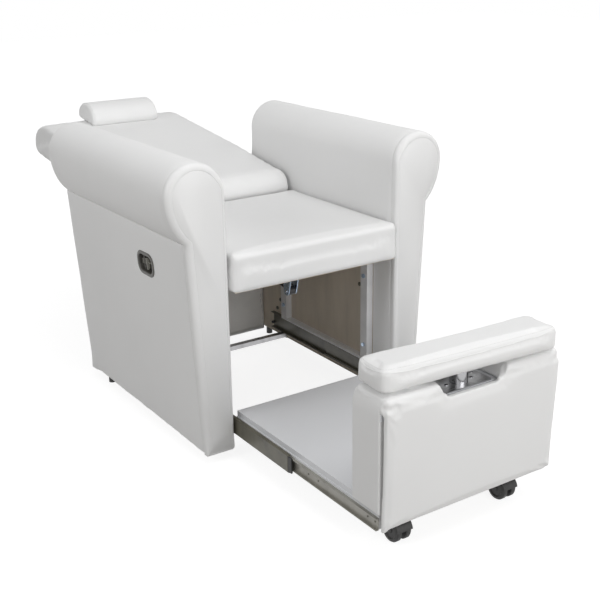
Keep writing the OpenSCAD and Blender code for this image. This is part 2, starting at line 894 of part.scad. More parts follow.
module slide_inner(side) {
    color(zinc) on_side(side)
        channel(inner_y, inner_y + slide_len, inner_w, slide_in, slide_in + inner_lip);
}

module slide_bumpers() {
    color(black) both_sides()
        slab([middle_out - middle_lip, middle_y - bumper_len, slide_h - middle_w / 2],
             [middle_out, middle_y, slide_h - inner_w / 2 - small_gap]);
}

// ---- Release handle ----

// The handle's own frame on the left arm: X up the arm, Y rearwards, Z out of the arm
module at_handle() {
    translate([-arm_x(handle_h), handle_y, handle_h]) rotate([0, -90 - arm_lean, 0]) children();
}

module cup_prism(z0, z1, inset) {
    translate([0, 0, z0]) linear_extrude(z1 - z0)
        rounded_2d(cup_w - 2 * inset, cup_len - 2 * inset, cup_corner_r - inset);
}

module at_paddle_pin() {
    at_handle() translate([0, paddle_pin_y, -paddle_pin_in]) children();
}

module handle_cup() {
    color(bronze) difference() {
        at_handle() {
            linear_extrude(bezel_t) rounded_2d(bezel_w, bezel_len, 2 * cup_corner_r);
            cup_prism(-cup_depth, 0, 0);
        }
        at_handle() cup_prism(cup_wall - cup_depth, 2 * bezel_t, cup_wall);
        at_paddle_pin() rod_x(paddle_pin_r, -paddle_pin_end, paddle_pin_end);
    }
}

module handle_pin() {
    color(steel) at_paddle_pin() rod_x(paddle_pin_r, -paddle_pin_end, paddle_pin_end);
}

// The paddle's middle line, from the pin to its free end, curved like an S
function paddle_line(t) = [-paddle_len * t, paddle_rise * t - paddle_wave * sin(360 * t)];

module release_lever() {
    line = [for (t = [0:0.1:1]) paddle_line(t)];
    color(bronze) at_paddle_pin() difference() {
        union() {
            rod_x(paddle_barrel_r, -paddle_w / 2, paddle_w / 2);
            along_x(-paddle_w / 2, paddle_w / 2) polygon(concat(
                [for (p = line) p + [0, paddle_t / 2]],
                [for (i = [len(line) - 1:-1:0]) line[i] - [0, paddle_t / 2]]));
        }
        rod_x(paddle_pin_r + run_fit, -cup_w, cup_w);
    }
}

module lever_spring() {
    start = paddle_w / 2 + small_gap;
    drop = cup_depth - cup_wall - paddle_pin_in - small_gap / 4;
    color(steel) at_paddle_pin() difference() {
        union() {
            rod_x(paddle_pin_r + spring_t, start, start + spring_w);
            slab([start, paddle_pin_r, -drop],
                 [start + spring_w, paddle_pin_r + spring_t, 0]);
        }
        rod_x(paddle_pin_r + run_fit, 0, cup_w);
    }
}

// ---- Drawer and footrest box ----

module drawer_shelf() {
    color(white_paint) slab([-box_in, box_front + box_t, shelf_bottom], [box_in, shelf_rear, shelf_h]);
}

module shelf_battens() {
    color(white_paint) both_sides()
        slab([slide_in - batten_t, inner_y, shelf_bottom - batten_drop],
             [slide_in, shelf_rear, shelf_bottom]);
}

module box_front() {
    color(leatherette) slab([-box_half, box_front, box_skirt_h], [box_half, box_front + box_t, lid_top]);
}

module box_sides() {
    color(leatherette) both_sides()
        slab([box_in, box_front + box_t, box_side_h], [box_half, box_rear_y, lid_top - lid_t]);
}

module box_rear() {
    color(white_paint) slab([-box_in, box_rear_y - box_t, shelf_h], [box_in, box_rear_y, lid_top - lid_t]);
}

module box_lid() {
    color(white_paint) difference() {
        slab([-box_half, box_front + box_t, lid_top - lid_t], [box_half, box_rear_y, lid_top]);
        at_post() cylinder(r = sleeve_r, h = lid_top + 1);
    }
}

module box_top_pad() {
    reach = flange_len / 2 + notch_clear;
    color(leatherette) difference() {
        translate([0, box_front + box_d / 2, lid_top])
            cushion(2 * box_half, box_d, box_pad_t, pad_corner_r, pad_edge_r, pad_foot_r, 0, 0);
        along_y(box_front - 1, notch_rear) translate([post_x, lid_top])
            polygon([[-reach, -1], [reach, -1], [reach + notch_slope, box_pad_t + 1],
                     [-reach - notch_slope, box_pad_t + 1]]);
    }
}

module box_bottom() {
    inner = slide_in - batten_t;
    color(raw_board) difference() {
        slab([-inner, box_front + box_t, castor_top], [inner, box_rear_y, shelf_bottom]);
        for (side = [-1, 1]) at_castor(side)
            cylinder(r = stem_r + run_fit, h = castor_top + bottom_t - 2);
    }
}

// The axis of the footrest's post, from the floor up
module at_post() {
    translate([post_x, post_y, 0]) children();
}

module post_flange() {
    color(steel) at_post() difference() {
        union() {
            translate([0, 0, lid_top]) linear_extrude(sheet_t) rounded_2d(flange_len, flange_d, 6);
            translate([0, 0, flange_top - sleeve_len]) cylinder(r = sleeve_r, h = sleeve_len);
        }
        cylinder(r = post_r + run_fit, h = flange_top + 1);
    }
}

module flange_screws() {
    color(chrome) at_post() for (p = flange_screws_at)
        translate([p[0], p[1], flange_top]) intersection() {
            cylinder(r = screw_r, h = screw_r);
            translate([0, 0, -screw_r]) sphere(r = 1.6 * screw_r);
        }
}

module footrest_post() {
    shoulder = foot_plate_h - seat_fit;
    color(chrome) at_post() {
        translate([0, 0, flange_top - sleeve_len + post_end])
            cylinder(r = post_r, h = shoulder - flange_top + sleeve_len - post_end);
        translate([0, 0, shoulder - small_gap])
            cylinder(r = spigot_r, h = spigot_len + seat_fit + small_gap);
    }
}

module footrest_plate() {
    color(black) at_post() rotate(foot_turn) difference() {
        union() {
            translate([0, 0, foot_plate_h])
                linear_extrude(foot_plate_t) rounded_2d(foot_plate_w, foot_plate_d, 8);
            translate([0, 0, foot_plate_h]) cylinder(r = hub_r, h = hub_t);
        }
        cylinder(r = spigot_r + run_fit, h = foot_plate_h + spigot_len + small_gap);
    }
}

module footrest_cushion() {
    color(leatherette) at_post() rotate(foot_turn) difference() {
        translate([0, 0, foot_bottom])
            cushion(foot_len, foot_d, foot_t - foot_crown, foot_corner_r, foot_edge_r, foot_foot_r,
                    foot_crown, foot_draw);
        translate([0, 0, foot_plate_h]) cylinder(r = hub_r + seat_fit, h = hub_t + seat_fit);
    }
}

// ---- Castors ----

// A castor's swivel axis, from the floor up
module at_castor(side) {
    translate([side * castor_x, castor_y, 0]) children();
}

module hood_2d() {
    outer = wheel_r + hood_gap + hood_t;
    intersection() {
        difference() {
            circle(r = outer);
            circle(r = wheel_r + hood_gap);
        }
        polygon([[0, 0], [2 * outer, 0], [2 * outer, 2 * outer], [-2 * outer, 2 * outer],
                 [-2 * outer, 0.4 * outer]]);
    }
}

module castor_frame(side) {
    reach = web_half + small_gap + wheel_w;
    hood_h = wheel_r + hood_gap + hood_t;
    neck_h = 2 * wheel_r + hood_gap;
    color(black) at_castor(side) difference() {
        union() {
            translate([0, 0, neck_h])
                cylinder(r = neck_r, h = castor_top - small_gap / 2 - neck_h);
            translate([0, 0, castor_top - neck_r])
                cylinder(r = stem_r, h = neck_r + bottom_t - 3);
            translate([0, castor_trail, wheel_r]) {
                along_x(-reach, reach) hood_2d();
                along_x(-web_half, web_half) {
                    circle(r = 2.5 * axle_r);
                    polygon([[-castor_trail - 8, hood_h - 8], [-2.5 * axle_r, 0],
                             [2.5 * axle_r, 0], [6, hood_h - 1]]);
                }
            }
        }
        translate([0, castor_trail, wheel_r]) rod_x(axle_r + run_fit, -half, half);
    }
}

module castor_wheels(side) {
    out = web_half + small_gap + wheel_w;
    groove = 2;
    color(black) at_castor(side) translate([0, castor_trail, wheel_r]) {
        rod_x(axle_r, -out, out);
        both_sides() rotate([0, 90, 0]) rotate_extrude()
            polygon([[0, web_half + small_gap], [wheel_r - groove, web_half + small_gap],
                     [wheel_r, web_half + small_gap + groove], [wheel_r, out - 2 * groove],
                     [wheel_r - groove, out - groove / 2], [wheel_r - 4 * groove, out],
                     [wheel_r - 5 * groove, out - groove], [3 * groove, out - groove],
                     [2.5 * groove, out], [0, out]]);
    }
}

// ---- Assembly ----

place() arm_front(-1);  // left_arm_front
place() arm_front(1);  // right_arm_front
place() arm_side(-1);  // left_arm_side
place() arm_side(1);  // right_arm_side
place() arm_rear(-1);  // left_arm_rear
place() arm_rear(1);  // right_arm_rear
place() arm_roll(-1);  // left_arm_roll
place() arm_roll(1);  // right_arm_roll
place() arm_pad(-1);  // left_arm_pad
place() arm_pad(1);  // right_arm_pad
place() arm_boards();
place() arm_bottoms();
place() arm_glides();
place() posts(front_post_y);  // front_posts
place() posts(rear_post_y);  // rear_posts
place() base_bars();
place() top_rails();
place() floor_crossbar();
place() frame_bolts();
place() seat_board();
place() seat_cushion();
place() back_skirt();
place() hinge_plates();
place() gas_spring_bracket();
place() gas_spring_pin();
place() gas_spring_rod();
place() gas_spring_cylinder();
place() gas_spring_rear_pin();
place() slide_outer(-1);  // left_slide_outer
place() slide_outer(1);  // right_slide_outer
place() slide_middle(-1);  // left_slide_middle
place() slide_middle(1);  // right_slide_middle
place() slide_bumpers();
place() slide_inner(-1);  // left_slide_inner
place() slide_inner(1);  // right_slide_inner
place() handle_cup();
place() handle_pin();
place() release_lever();
place() lever_spring();
place() backrest_cushion();
place() backrest_board();
place() backrest_shaft();
place() head_pillow();
place() drawer_shelf();
place() shelf_battens();
place() box_front();
place() box_sides();
place() box_rear();
place() box_lid();
place() box_top_pad();
place() box_bottom();
place() post_flange();
place() flange_screws();
place() footrest_post();
place() footrest_plate();
place() footrest_cushion();
place() castor_frame(-1);  // left_castor_frame
place() castor_wheels(-1);  // left_castor_wheels
place() castor_frame(1);  // right_castor_frame
place() castor_wheels(1);  // right_castor_wheels
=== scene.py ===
"""Looks of the pedicure spa chair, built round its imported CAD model. Metres, row frame."""
import math

import bmesh
import bpy
from mathutils import Matrix, Vector, noise
from mathutils.bvhtree import BVHTree


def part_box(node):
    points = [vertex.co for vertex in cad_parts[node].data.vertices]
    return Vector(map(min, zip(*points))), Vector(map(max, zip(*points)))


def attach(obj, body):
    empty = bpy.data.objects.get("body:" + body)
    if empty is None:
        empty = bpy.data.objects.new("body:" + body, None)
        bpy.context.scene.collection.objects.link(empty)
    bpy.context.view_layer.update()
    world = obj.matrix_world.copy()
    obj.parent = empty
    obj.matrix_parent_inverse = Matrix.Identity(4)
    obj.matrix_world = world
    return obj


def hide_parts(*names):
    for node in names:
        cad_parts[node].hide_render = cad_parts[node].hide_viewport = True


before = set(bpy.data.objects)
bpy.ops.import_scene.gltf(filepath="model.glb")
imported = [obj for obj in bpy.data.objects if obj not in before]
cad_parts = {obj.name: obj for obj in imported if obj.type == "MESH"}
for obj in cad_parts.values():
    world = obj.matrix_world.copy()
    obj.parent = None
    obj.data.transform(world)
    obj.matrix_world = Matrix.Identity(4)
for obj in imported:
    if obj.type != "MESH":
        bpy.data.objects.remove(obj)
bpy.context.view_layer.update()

scene = bpy.context.scene

# ---- Places and sizes, as in the CAD model ----

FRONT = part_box("left_arm_front")[0].y      # front faces of the arms
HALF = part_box("right_arm_pad")[0].x        # half of the gap between the arms
PANEL_T = 0.020                            # thickness of the arms' front panels
GLIDE_H = 0.025                            # lower edge of the arms
NECK_H = 0.588                             # where an arm's side meets its roll
FOOT_X, NECK_X = HALF + 0.081, HALF + 0.111
FOOT_REAR, NECK_REAR = FRONT + 0.740, FRONT + 0.753
ROLL_R = 0.079
ROLL_X, ROLL_H = HALF + ROLL_R, NECK_H + 0.116
ROLL_REAR = FRONT + 0.752
BOARD_T = 0.015                            # thickness of the arms' rear panels
SEAT_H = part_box("seat_board")[0].z         # underside of the seat's board
SEAT_FRONT, SEAT_REAR = FRONT - 0.018, FRONT + 0.498
HANDLE_Y, HANDLE_H = FRONT + 0.243, 0.486
SLIDE_H = 0.085                            # middle height of the slides
BOX_LO, BOX_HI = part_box("box_front")
LID_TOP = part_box("box_lid")[1].z
PAD_TOP = LID_TOP + 0.040
POST = Vector((-0.008, BOX_LO.y + 0.047, 0))
FOOT_LO, FOOT_HI = 0.391, 0.446            # lower and upper side of the footrest's cushion
HINGE = Vector((0, FRONT + 0.554, 0.552))
BACK = Matrix.Translation(HINGE) @ Matrix.Rotation(math.radians(7), 4, "X")
BACK_R = 0.051                             # radius of the backrest's nose round the hinge
PILLOW_RISE = 0.0080                       # the pillow lies this far above the nose's top
QUARTER = (0, 18, 36, 54, 72, 90)          # steps round a quarter circle, in degrees


def up_arm(h):
    """How far up an arm's side a height is, from 0 at the foot to 1 at the neck."""
    return (h - GLIDE_H) / (NECK_H - GLIDE_H)


def arm_x(h):
    return FOOT_X + (NECK_X - FOOT_X) * up_arm(h)


def arm_rear(h):
    return FOOT_REAR + (NECK_REAR - FOOT_REAR) * up_arm(h)


def cosd(angle):
    return math.cos(math.radians(angle))


def sind(angle):
    return math.sin(math.radians(angle))


def eased(t):
    """0 before 0, 1 after 1 and smooth between."""
    t = min(1.0, max(0.0, t))
    return t * t * (3 - 2 * t)


# ---- Camera ----

CAMERA_AZIMUTH, CAMERA_ELEVATION, CAMERA_ROLL = -33.444, 19.271, -0.894
CAMERA_PLACE = (-1.4249, -2.4333, 1.2611)
CAMERA_LENS, CAMERA_SENSOR = 61.39, 36


def add_camera():
    back = Vector((sind(CAMERA_AZIMUTH) * cosd(CAMERA_ELEVATION),
                   -cosd(CAMERA_AZIMUTH) * cosd(CAMERA_ELEVATION), sind(CAMERA_ELEVATION)))
    right = (-back).cross(Vector((0, 0, 1))).normalized()
    up = right.cross(-back)
    across = right * cosd(CAMERA_ROLL) + up * sind(CAMERA_ROLL)
    above = up * cosd(CAMERA_ROLL) - right * sind(CAMERA_ROLL)
    data = bpy.data.cameras.new("camera")
    data.lens = CAMERA_LENS
    data.sensor_width = CAMERA_SENSOR
    camera = bpy.data.objects.new("camera", data)
    turn = Matrix((across, above, back)).transposed().to_4x4()
    camera.matrix_world = Matrix.Translation(CAMERA_PLACE) @ turn
    scene.collection.objects.link(camera)
    scene.camera = camera


# ---- Materials ----

class Look:
    """A material whose parts are added by name."""

    def __init__(self, name, colour, roughness, metallic=0.0):
        self.mat = bpy.data.materials.new(name)
        self.mat.use_nodes = True
        self.tree = self.mat.node_tree
        self.shader = self.tree.nodes["Principled BSDF"]
        for key, value in (("Base Color", (*colour, 1)), ("Roughness", roughness),
                           ("Metallic", metallic)):
            self.shader.inputs[key].default_value = value
        self.coords = self.tree.nodes.new("ShaderNodeTexCoord").outputs["Object"]
        self.normal = None

    def add(self, kind, links=None, **values):
        node = self.tree.nodes.new(kind)
        for key, value in values.items():
            if hasattr(node, key):
                setattr(node, key, value)
            else:
                node.inputs[key.replace("_", " ")].default_value = value
        for key, source in (links or {}).items():
            self.tree.links.new(source, node.inputs[key])
        return node

    def stretched(self, x, y, z):
        return self.add("ShaderNodeMapping", {"Vector": self.coords},
                        Scale=(x, y, z)).outputs["Vector"]

    def grain(self, scale, detail=3.0, coords=None):
        return self.add("ShaderNodeTexNoise", {"Vector": coords or self.coords},
                        Scale=scale, Detail=detail).outputs["Fac"]

    def cells(self, scale):
        return self.add("ShaderNodeTexVoronoi", {"Vector": self.coords},
                        Scale=scale).outputs["Distance"]

    def colour(self, factor, stops):
        node = self.add("ShaderNodeValToRGB", {"Fac": factor})
        ramp = node.color_ramp
        while len(ramp.elements) < len(stops):
            ramp.elements.new(0.5)
        for element, (place, colour) in zip(ramp.elements, stops):
            element.position = place
            element.color = (*colour, 1)
        self.tree.links.new(node.outputs["Color"], self.shader.inputs["Base Color"])

    def roughness(self, factor, low, high):
        node = self.add("ShaderNodeMapRange", {"Value": factor}, To_Min=low, To_Max=high)
        self.tree.links.new(node.outputs["Result"], self.shader.inputs["Roughness"])

    def bump(self, height, strength, distance):
        links = {"Height": height}
        if self.normal:
            links["Normal"] = self.normal
        node = self.add("ShaderNodeBump", links, Strength=strength, Distance=distance)
        self.normal = node.outputs["Normal"]
        self.tree.links.new(self.normal, self.shader.inputs["Normal"])


def tones(colour, *shares):
    """Colour ramp stops of one colour in several depths, over the middle part of a noise."""
    low, span = 0.3, 0.4
    return [(i / (len(shares) - 1) * span + low, tuple(c * s for c in colour))
            for i, s in enumerate(shares)]


def leatherette_look():
    colour = (0.815, 0.815, 0.812)
    m = Look("leatherette", colour, 0.42)
    m.colour(m.grain(2.5), tones(colour, 0.975, 1.0, 1.01))
    m.roughness(m.grain(30), 0.38, 0.50)
    m.bump(m.grain(9, detail=1.5), 0.08, 0.004)
    m.bump(m.cells(950), 0.30, 0.0003)
    m.bump(m.grain(420), 0.22, 0.0004)
    return m.mat


def thread_look():
    colour = (0.70, 0.70, 0.69)
    m = Look("thread", colour, 0.6)
    m.colour(m.grain(900), tones(colour, 0.85, 1.0, 1.05))
    m.bump(m.grain(2500), 0.5, 0.0002)
    return m.mat


def board_look():
    colour = (0.72, 0.645, 0.55)
    m = Look("raw_board", colour, 0.72)
    m.colour(m.grain(5, detail=4, coords=m.stretched(5, 5, 1)),
             tones(colour, 0.90, 0.98, 1.04, 1.10))
    m.roughness(m.grain(60), 0.62, 0.82)
    m.bump(m.grain(90, detail=4, coords=m.stretched(8, 8, 1)), 0.30, 0.0008)
    m.bump(m.grain(900), 0.2, 0.0003)
    return m.mat


def lining_look():
    colour = (0.86, 0.85, 0.83)
    m = Look("lining", colour, 0.9)
    m.colour(m.grain(8, detail=4), tones(colour, 0.90, 1.0, 1.04))
    m.bump(m.grain(35, detail=2, coords=m.stretched(1, 1, 0.3)), 0.35, 0.003)
    m.bump(m.cells(700), 0.5, 0.0004)
    return m.mat


def laminate_look():
    colour = (0.76, 0.77, 0.79)
    m = Look("white_laminate", colour, 0.30)
    m.colour(m.grain(3, detail=2), tones(colour, 0.985, 1.0, 1.005))
    m.roughness(m.grain(45), 0.26, 0.36)
    m.bump(m.grain(320, detail=2), 0.10, 0.0004)
    return m.mat


def paint_look(name, colour, rough, depth, mottle=0.06, metallic=0.0):
    m = Look(name, colour, rough, metallic)
    m.colour(m.grain(25, detail=4), tones(colour, 1 - mottle, 1.0, 1 + mottle / 2))
    m.roughness(m.grain(160), rough - 0.06, rough + 0.08)
    m.bump(m.grain(480, detail=2), depth, 0.0004)
    return m.mat


def metal_look(name, colour, rough, brushed=(1, 1, 1), mottle=0.12):
    m = Look(name, colour, rough, metallic=1.0)
    m.colour(m.grain(40, detail=4), tones(colour, 1 - 2 * mottle, 1 - mottle / 2, 1.0))
    m.roughness(m.grain(140, detail=4, coords=m.stretched(*brushed)), rough * 0.7, rough * 1.5)
    m.bump(m.grain(700, detail=2, coords=m.stretched(*brushed)), 0.08, 0.0002)
    return m.mat


def nylon_look():
    colour = (0.010, 0.010, 0.010)
    m = Look("black_nylon", colour, 0.45)
    m.colour(m.grain(30), [(0.3, colour), (0.7, (0.018, 0.017, 0.016))])
    m.roughness(m.grain(90), 0.38, 0.60)
    m.bump(m.grain(1100, detail=2), 0.3, 0.0002)
    return m.mat


LEATHER = leatherette_look()
THREAD = thread_look()
BOARD = board_look()
LINING = lining_look()
LAMINATE = laminate_look()
WHITE = paint_look("white_paint", (0.80, 0.80, 0.81), 0.38, 0.25)
BLACK_PAINT = paint_look("black_paint", (0.02, 0.02, 0.022), 0.35, 0.2)
STEEL = metal_look("plain_steel", (0.56, 0.56, 0.57), 0.28, brushed=(0.1, 1, 1))
# A much darker copy of the slides' zinc, with random streaks: painted shade for the dark bay
# between the arms
SHADED_ZINC = paint_look("shaded_zinc", (0.115, 0.108, 0.080), 0.34, 0.15, mottle=0.35)
WORN_ZINC = paint_look("worn_zinc", (0.33, 0.32, 0.285), 0.30, 0.15, mottle=0.15, metallic=0.25)
BLUE_ZINC = metal_look("blue_zinc", (0.45, 0.55, 0.68), 0.26)
# Chrome with a grey well below bare chrome's: a painted reflection of dark surroundings on the
# footrest post and its screws
CHROME = metal_look("chrome", (0.40, 0.40, 0.41), 0.14, mottle=0.03)
BRONZE = paint_look("bronze", (0.072, 0.068, 0.060), 0.36, 0.2, mottle=0.12)
PADDLE = paint_look("paddle", (0.118, 0.113, 0.092), 0.28, 0.2, mottle=0.12)
NYLON = nylon_look()


# ---- Mesh helpers ----

SHARP = 40            # degrees between faces above which an edge stays sharp
SOFT = 80             # the same for covers whose edges are all round
SAME_POINT = 2e-5     # points closer than this are one


def new_piece(name, data, look, body, sharp=SHARP):
    """A finished piece: its mesh cleaned, shaded, given its look and its body."""
    mesh = bpy.data.meshes.new(name)
    mesh.from_pydata([tuple(v) for v in data[0]], [], data[1])
    bm = bmesh.new()
    bm.from_mesh(mesh)
    bmesh.ops.remove_doubles(bm, verts=bm.verts, dist=SAME_POINT)
    bmesh.ops.recalc_face_normals(bm, faces=bm.faces)
    bm.to_mesh(mesh)
    bm.free()
    mesh.shade_smooth()
    mesh.set_sharp_from_angle(angle=math.radians(sharp))
    mesh.materials.append(look)
    piece = bpy.data.objects.new(name, mesh)
    scene.collection.objects.link(piece)
    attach(piece, body)
    return piece


def covering(name, data, body, sharp=SHARP):
    return new_piece(name, data, LEATHER, body, sharp)


def bake(piece):
    """Applies the piece's modifiers."""
    bpy.context.view_layer.update()
    done = piece.evaluated_get(bpy.context.evaluated_depsgraph_get())
    mesh = bpy.data.meshes.new_from_object(done)
    piece.modifiers.clear()
    piece.data = mesh
    mesh.shade_smooth()


def modify(piece, kind, **values):
    modifier = piece.modifiers.new(kind, kind)
    for key, value in values.items():
        setattr(modifier, key, value)
    return modifier


def combined(piece, shape, operation):
    """The piece with another shape cut from it or added to it."""
    other = covering("other", shape, "chair")
    modify(piece, "BOOLEAN", operation=operation, object=other, solver="EXACT")
    bake(piece)
    bpy.data.objects.remove(other)
    piece.data.set_sharp_from_angle(angle=math.radians(SHARP))


def loft(rings, caps=True):
    """Skin through closed rings of equal length."""
    n = len(rings[0])
    verts = [p for ring in rings for p in ring]
    faces = [(j * n + i, (j + 1) * n + i, (j + 1) * n + (i + 1) % n, j * n + (i + 1) % n)
             for j in range(len(rings) - 1) for i in range(n)]
    if caps:
        faces.append(tuple(range(n)))
        faces.append(tuple(range(len(verts) - n, len(verts))))
    return verts, faces


def grid_faces(nu, nv):
    """The faces between the points of a grid with nu points to a row."""
    return [(a, a + 1, a + nu + 1, a + nu)
            for j in range(nv - 1) for a in range(j * nu, j * nu + nu - 1)]


def joined(*shapes):
    verts, faces = [], []
    for v, f in shapes:
        start = len(verts)
        verts += v
        faces += [tuple(i + start for i in face) for face in f]
    return verts, faces


def moved(shape, matrix):
    return [matrix @ Vector(v) for v in shape[0]], shape[1]


def mirrored(shape, side):
    return [Vector((side * v[0], v[1], v[2])) for v in shape[0]], shape[1]


def inset(outline, depth):
    """The closed anticlockwise outline moved inwards. depth is one number or one for each point."""
    least_share = 0.4     # keeps a sharp corner from moving too far
    out = []
    for i, b in enumerate(outline):
        a, c = outline[i - 1], outline[(i + 1) % len(outline)]
        u, v = (b - a).normalized(), (c - b).normalized()
        left, right = Vector((-u.y, u.x)), Vector((-v.y, v.x))
        mean = (left + right).normalized()
        d = depth[i] if isinstance(depth, list) else depth
        out.append(b + mean * d / max(mean.dot(left), least_share))
    return out


def arc(centre, r, start, end, n):
    return [Vector((centre[0] + r * cosd(start + (end - start) * k / n),
                    centre[1] + r * sind(start + (end - start) * k / n)))
            for k in range(n + 1)]


def line(a, b, n):
    """Points from a towards b, b left out."""
    a, b = Vector(a), Vector(b)
    return [a.lerp(b, k / n) for k in range(n)]


def curve(p0, p1, p2, p3, n):
    """Points of a Bezier curve, its last one left out."""
    points = [Vector(p) for p in (p0, p1, p2, p3)]
    out = []
    for k in range(n):
        t = k / n
        shares = ((1 - t) ** 3, 3 * t * (1 - t) ** 2, 3 * t * t * (1 - t), t ** 3)
        out.append(sum((p * s for p, s in zip(points, shares)), Vector((0, 0))))
    return out


def rounded_outline(w, d, r, side_n=10, arc_n=6, draw=0.0):
    """Anticlockwise rectangle with round corners; its sides are drawn in between them."""
    out = []
    corners = [(1, -1, -90), (1, 1, 0), (-1, 1, 90), (-1, -1, 180)]
    for q, (sx, sy, start) in enumerate(corners):
        px, py, _ = corners[q - 1]
        p0 = Vector((px * (w / 2 - r), py * (d / 2 - r)))
        p1 = Vector((sx * (w / 2 - r), sy * (d / 2 - r)))
        out_dir = Vector((cosd(start), sind(start)))
        for k in range(1, side_n):
            t = k / side_n
            out.append(p0.lerp(p1, t) + out_dir * (r - draw * 4 * t * (1 - t)))
        out += arc(p1, r, start, start + 90, arc_n)
    return out


def cushion_shape(outline, t, edge, foot_r, crown):
    """A cushion standing on z = 0. edge(point) is the radius of its top edge there, and the
    crown rises from that edge to the middle."""
    foot_steps, edge_steps = 4, 8
    edges = [edge(p) for p in outline]
    rings = []
    for k in range(foot_steps + 1):
        a = 90 * k / foot_steps
        s, c = 1 - sind(a), 1 - cosd(a)
        rings.append([Vector((p.x, p.y, foot_r * c)) for p in inset(outline, foot_r * s)])
    for k in range(edge_steps + 1):
        a = 90 * k / edge_steps
        s, c = 1 - sind(a), 1 - cosd(a)
        rings.append([Vector((p.x, p.y, t - e * s))
                      for p, e in zip(inset(outline, [e * c for e in edges]), edges)])
    top = rings[-1]
    for f in (0.97, 0.93, 0.85, 0.75, 0.62, 0.48, 0.33, 0.18, 0.06):
        z = t + crown * (1 - f ** 6)
        rings.append([Vector((p.x * f, p.y * f, z)) for p in top])
    return loft(rings)


def panel_shape(place, size_u, size_v, thick, edge_r, crown=0.0):
    """A padded panel with soft edges. place(u, v, w) gives the point at shares u and v of the
    panel and height w above its back."""
    step = 0.02
    def stops(size):
        near = [edge_r * (1 - cosd(a)) for a in QUARTER]
        n = max(2, int((size - 2 * edge_r) / step))
        mid = [edge_r + (size - 2 * edge_r) * k / n for k in range(1, n)]
        return near + mid + [size - d for d in reversed(near)]
    us, vs = stops(size_u), stops(size_v)
    def rise(d, size):
        d = min(d, size - d)
        return edge_r - math.sqrt(max(edge_r ** 2 - max(edge_r - d, 0) ** 2, 0))
    verts = []
    for v in vs:
        for u in us:
            drop = min(edge_r, math.hypot(rise(u, size_u), rise(v, size_v)))
            swell = crown * (1 - (2 * u / size_u - 1) ** 4) * (1 - (2 * v / size_v - 1) ** 4)
            verts.append(place(u / size_u, v / size_v, thick - drop + swell))
    nu, nv = len(us), len(vs)
    faces = grid_faces(nu, nv)
    rim = (list(range(nu)) + [j * nu + nu - 1 for j in range(1, nv)]
           + [(nv - 1) * nu + i for i in range(nu - 2, -1, -1)]
           + [j * nu for j in range(nv - 2, 0, -1)])
    base = len(verts)
    for k in rim:
        verts.append(place(us[k % nu] / size_u, vs[k // nu] / size_v, 0))
    for k in range(len(rim)):
        m = (k + 1) % len(rim)
        faces.append((rim[k], base + k, base + m, rim[m]))
    faces.append(tuple(range(base, base + len(rim))))
    return verts, faces


def tube(points, r, sides=8, closed=False):
    """A round cord through the points."""
    unlike = Vector((0.31, 0.53, 0.79))     # a direction that no cord here runs along
    rings = []
    n = len(points)
    for i, p in enumerate(points):
        a = points[i - 1] if i or closed else p
        b = points[(i + 1) % n] if i < n - 1 or closed else p
        along = (b - a).normalized()
        side = along.cross(unlike).normalized()
        other = along.cross(side)
        rings.append([p + r * (side * math.cos(2 * math.pi * k / sides)
                               + other * math.sin(2 * math.pi * k / sides))
                      for k in range(sides)])
    if closed:
        return loft(rings + [rings[0]], caps=False)
    return loft(rings)


def disc(place, axis, r, height, sides=24):
    """A low round head with a rounded rim and a recess, standing on place along axis."""
    axis = Vector(axis).normalized()
    side = axis.orthogonal().normalized()
    other = axis.cross(side)
    round_r = min(r, height) * 0.4
    recess_r, recess_floor = r * 0.5, height * 0.7
    profile = [(r, 0)]
    profile += [(r - round_r * (1 - cosd(a)), height - round_r * (1 - sind(a)))
                for a in (0, 30, 60, 90)]
    profile += [(recess_r, height), (r * 0.42, recess_floor)]
    return loft([[Vector(place) + axis * z + s * (side * math.cos(2 * math.pi * k / sides)
                                                  + other * math.sin(2 * math.pi * k / sides))
                  for k in range(sides)] for s, z in profile])


def block(low, high, round_r):
    """A box with rounded edges along X and bevelled ends."""
    (x0, y0, z0), (x1, y1, z1) = low, high
    bevel = round_r * 0.3
    rings = []
    for x, margin in ((x0, bevel), (x0 + bevel, 0), (x1 - bevel, 0), (x1, bevel)):
        outline = inset(rounded_outline(y1 - y0, z1 - z0, round_r, side_n=3, arc_n=4), margin)
        rings.append([Vector((x, p.x + (y0 + y1) / 2, p.y + (z0 + z1) / 2)) for p in outline])
    return loft(rings)


def surface_of(piece):
    """The piece's faces as a tree that rays can be cast at."""
    mesh = piece.data
    return BVHTree.FromPolygons([v.co.copy() for v in mesh.vertices],
                                [tuple(p.vertices) for p in mesh.polygons])


def landed(tree, start, direction, lift):
    """Where a ray from start meets the surface, lifted off it."""
    place, normal, _, _ = tree.ray_cast(Vector(start), Vector(direction).normalized())
    if place is None:
        return None
    if normal.dot(Vector(direction)) > 0:
        normal = -normal
    return place + normal * lift


def stitches(points, length, gap, r):
    """Short threads along a path."""
    shapes = []
    run = [0.0]
    for a, b in zip(points, points[1:]):
        run.append(run[-1] + (b - a).length)
    def at(s):
        for i in range(len(points) - 1):
            if s <= run[i + 1]:
                t = (s - run[i]) / max(run[i + 1] - run[i], 1e-9)
                return points[i].lerp(points[i + 1], t)
        return points[-1].copy()
    s = gap
    while s + length < run[-1]:
        shapes.append(tube([at(s), at(s + length / 2), at(s + length)], r, sides=5))
        s += length + gap
    return joined(*shapes)


def ripple(piece, amount, size, share=lambda p: 1.0):
    """Slight unevenness of a hand-covered panel."""
    for v in piece.data.vertices:
        v.co += v.normal * (amount * share(v.co) * noise.noise(v.co / size))


def near_hem(reach, low):
    """1 at the lower edge, falling to 0 a reach above it."""
    return lambda p: max(0.0, 1 - (p.z - low) / reach)


# ---- Cloth ----

CLOTH_PRESSURE, CLOTH_MASS, CLOTH_FRAMES = 3.0, 0.3, 20


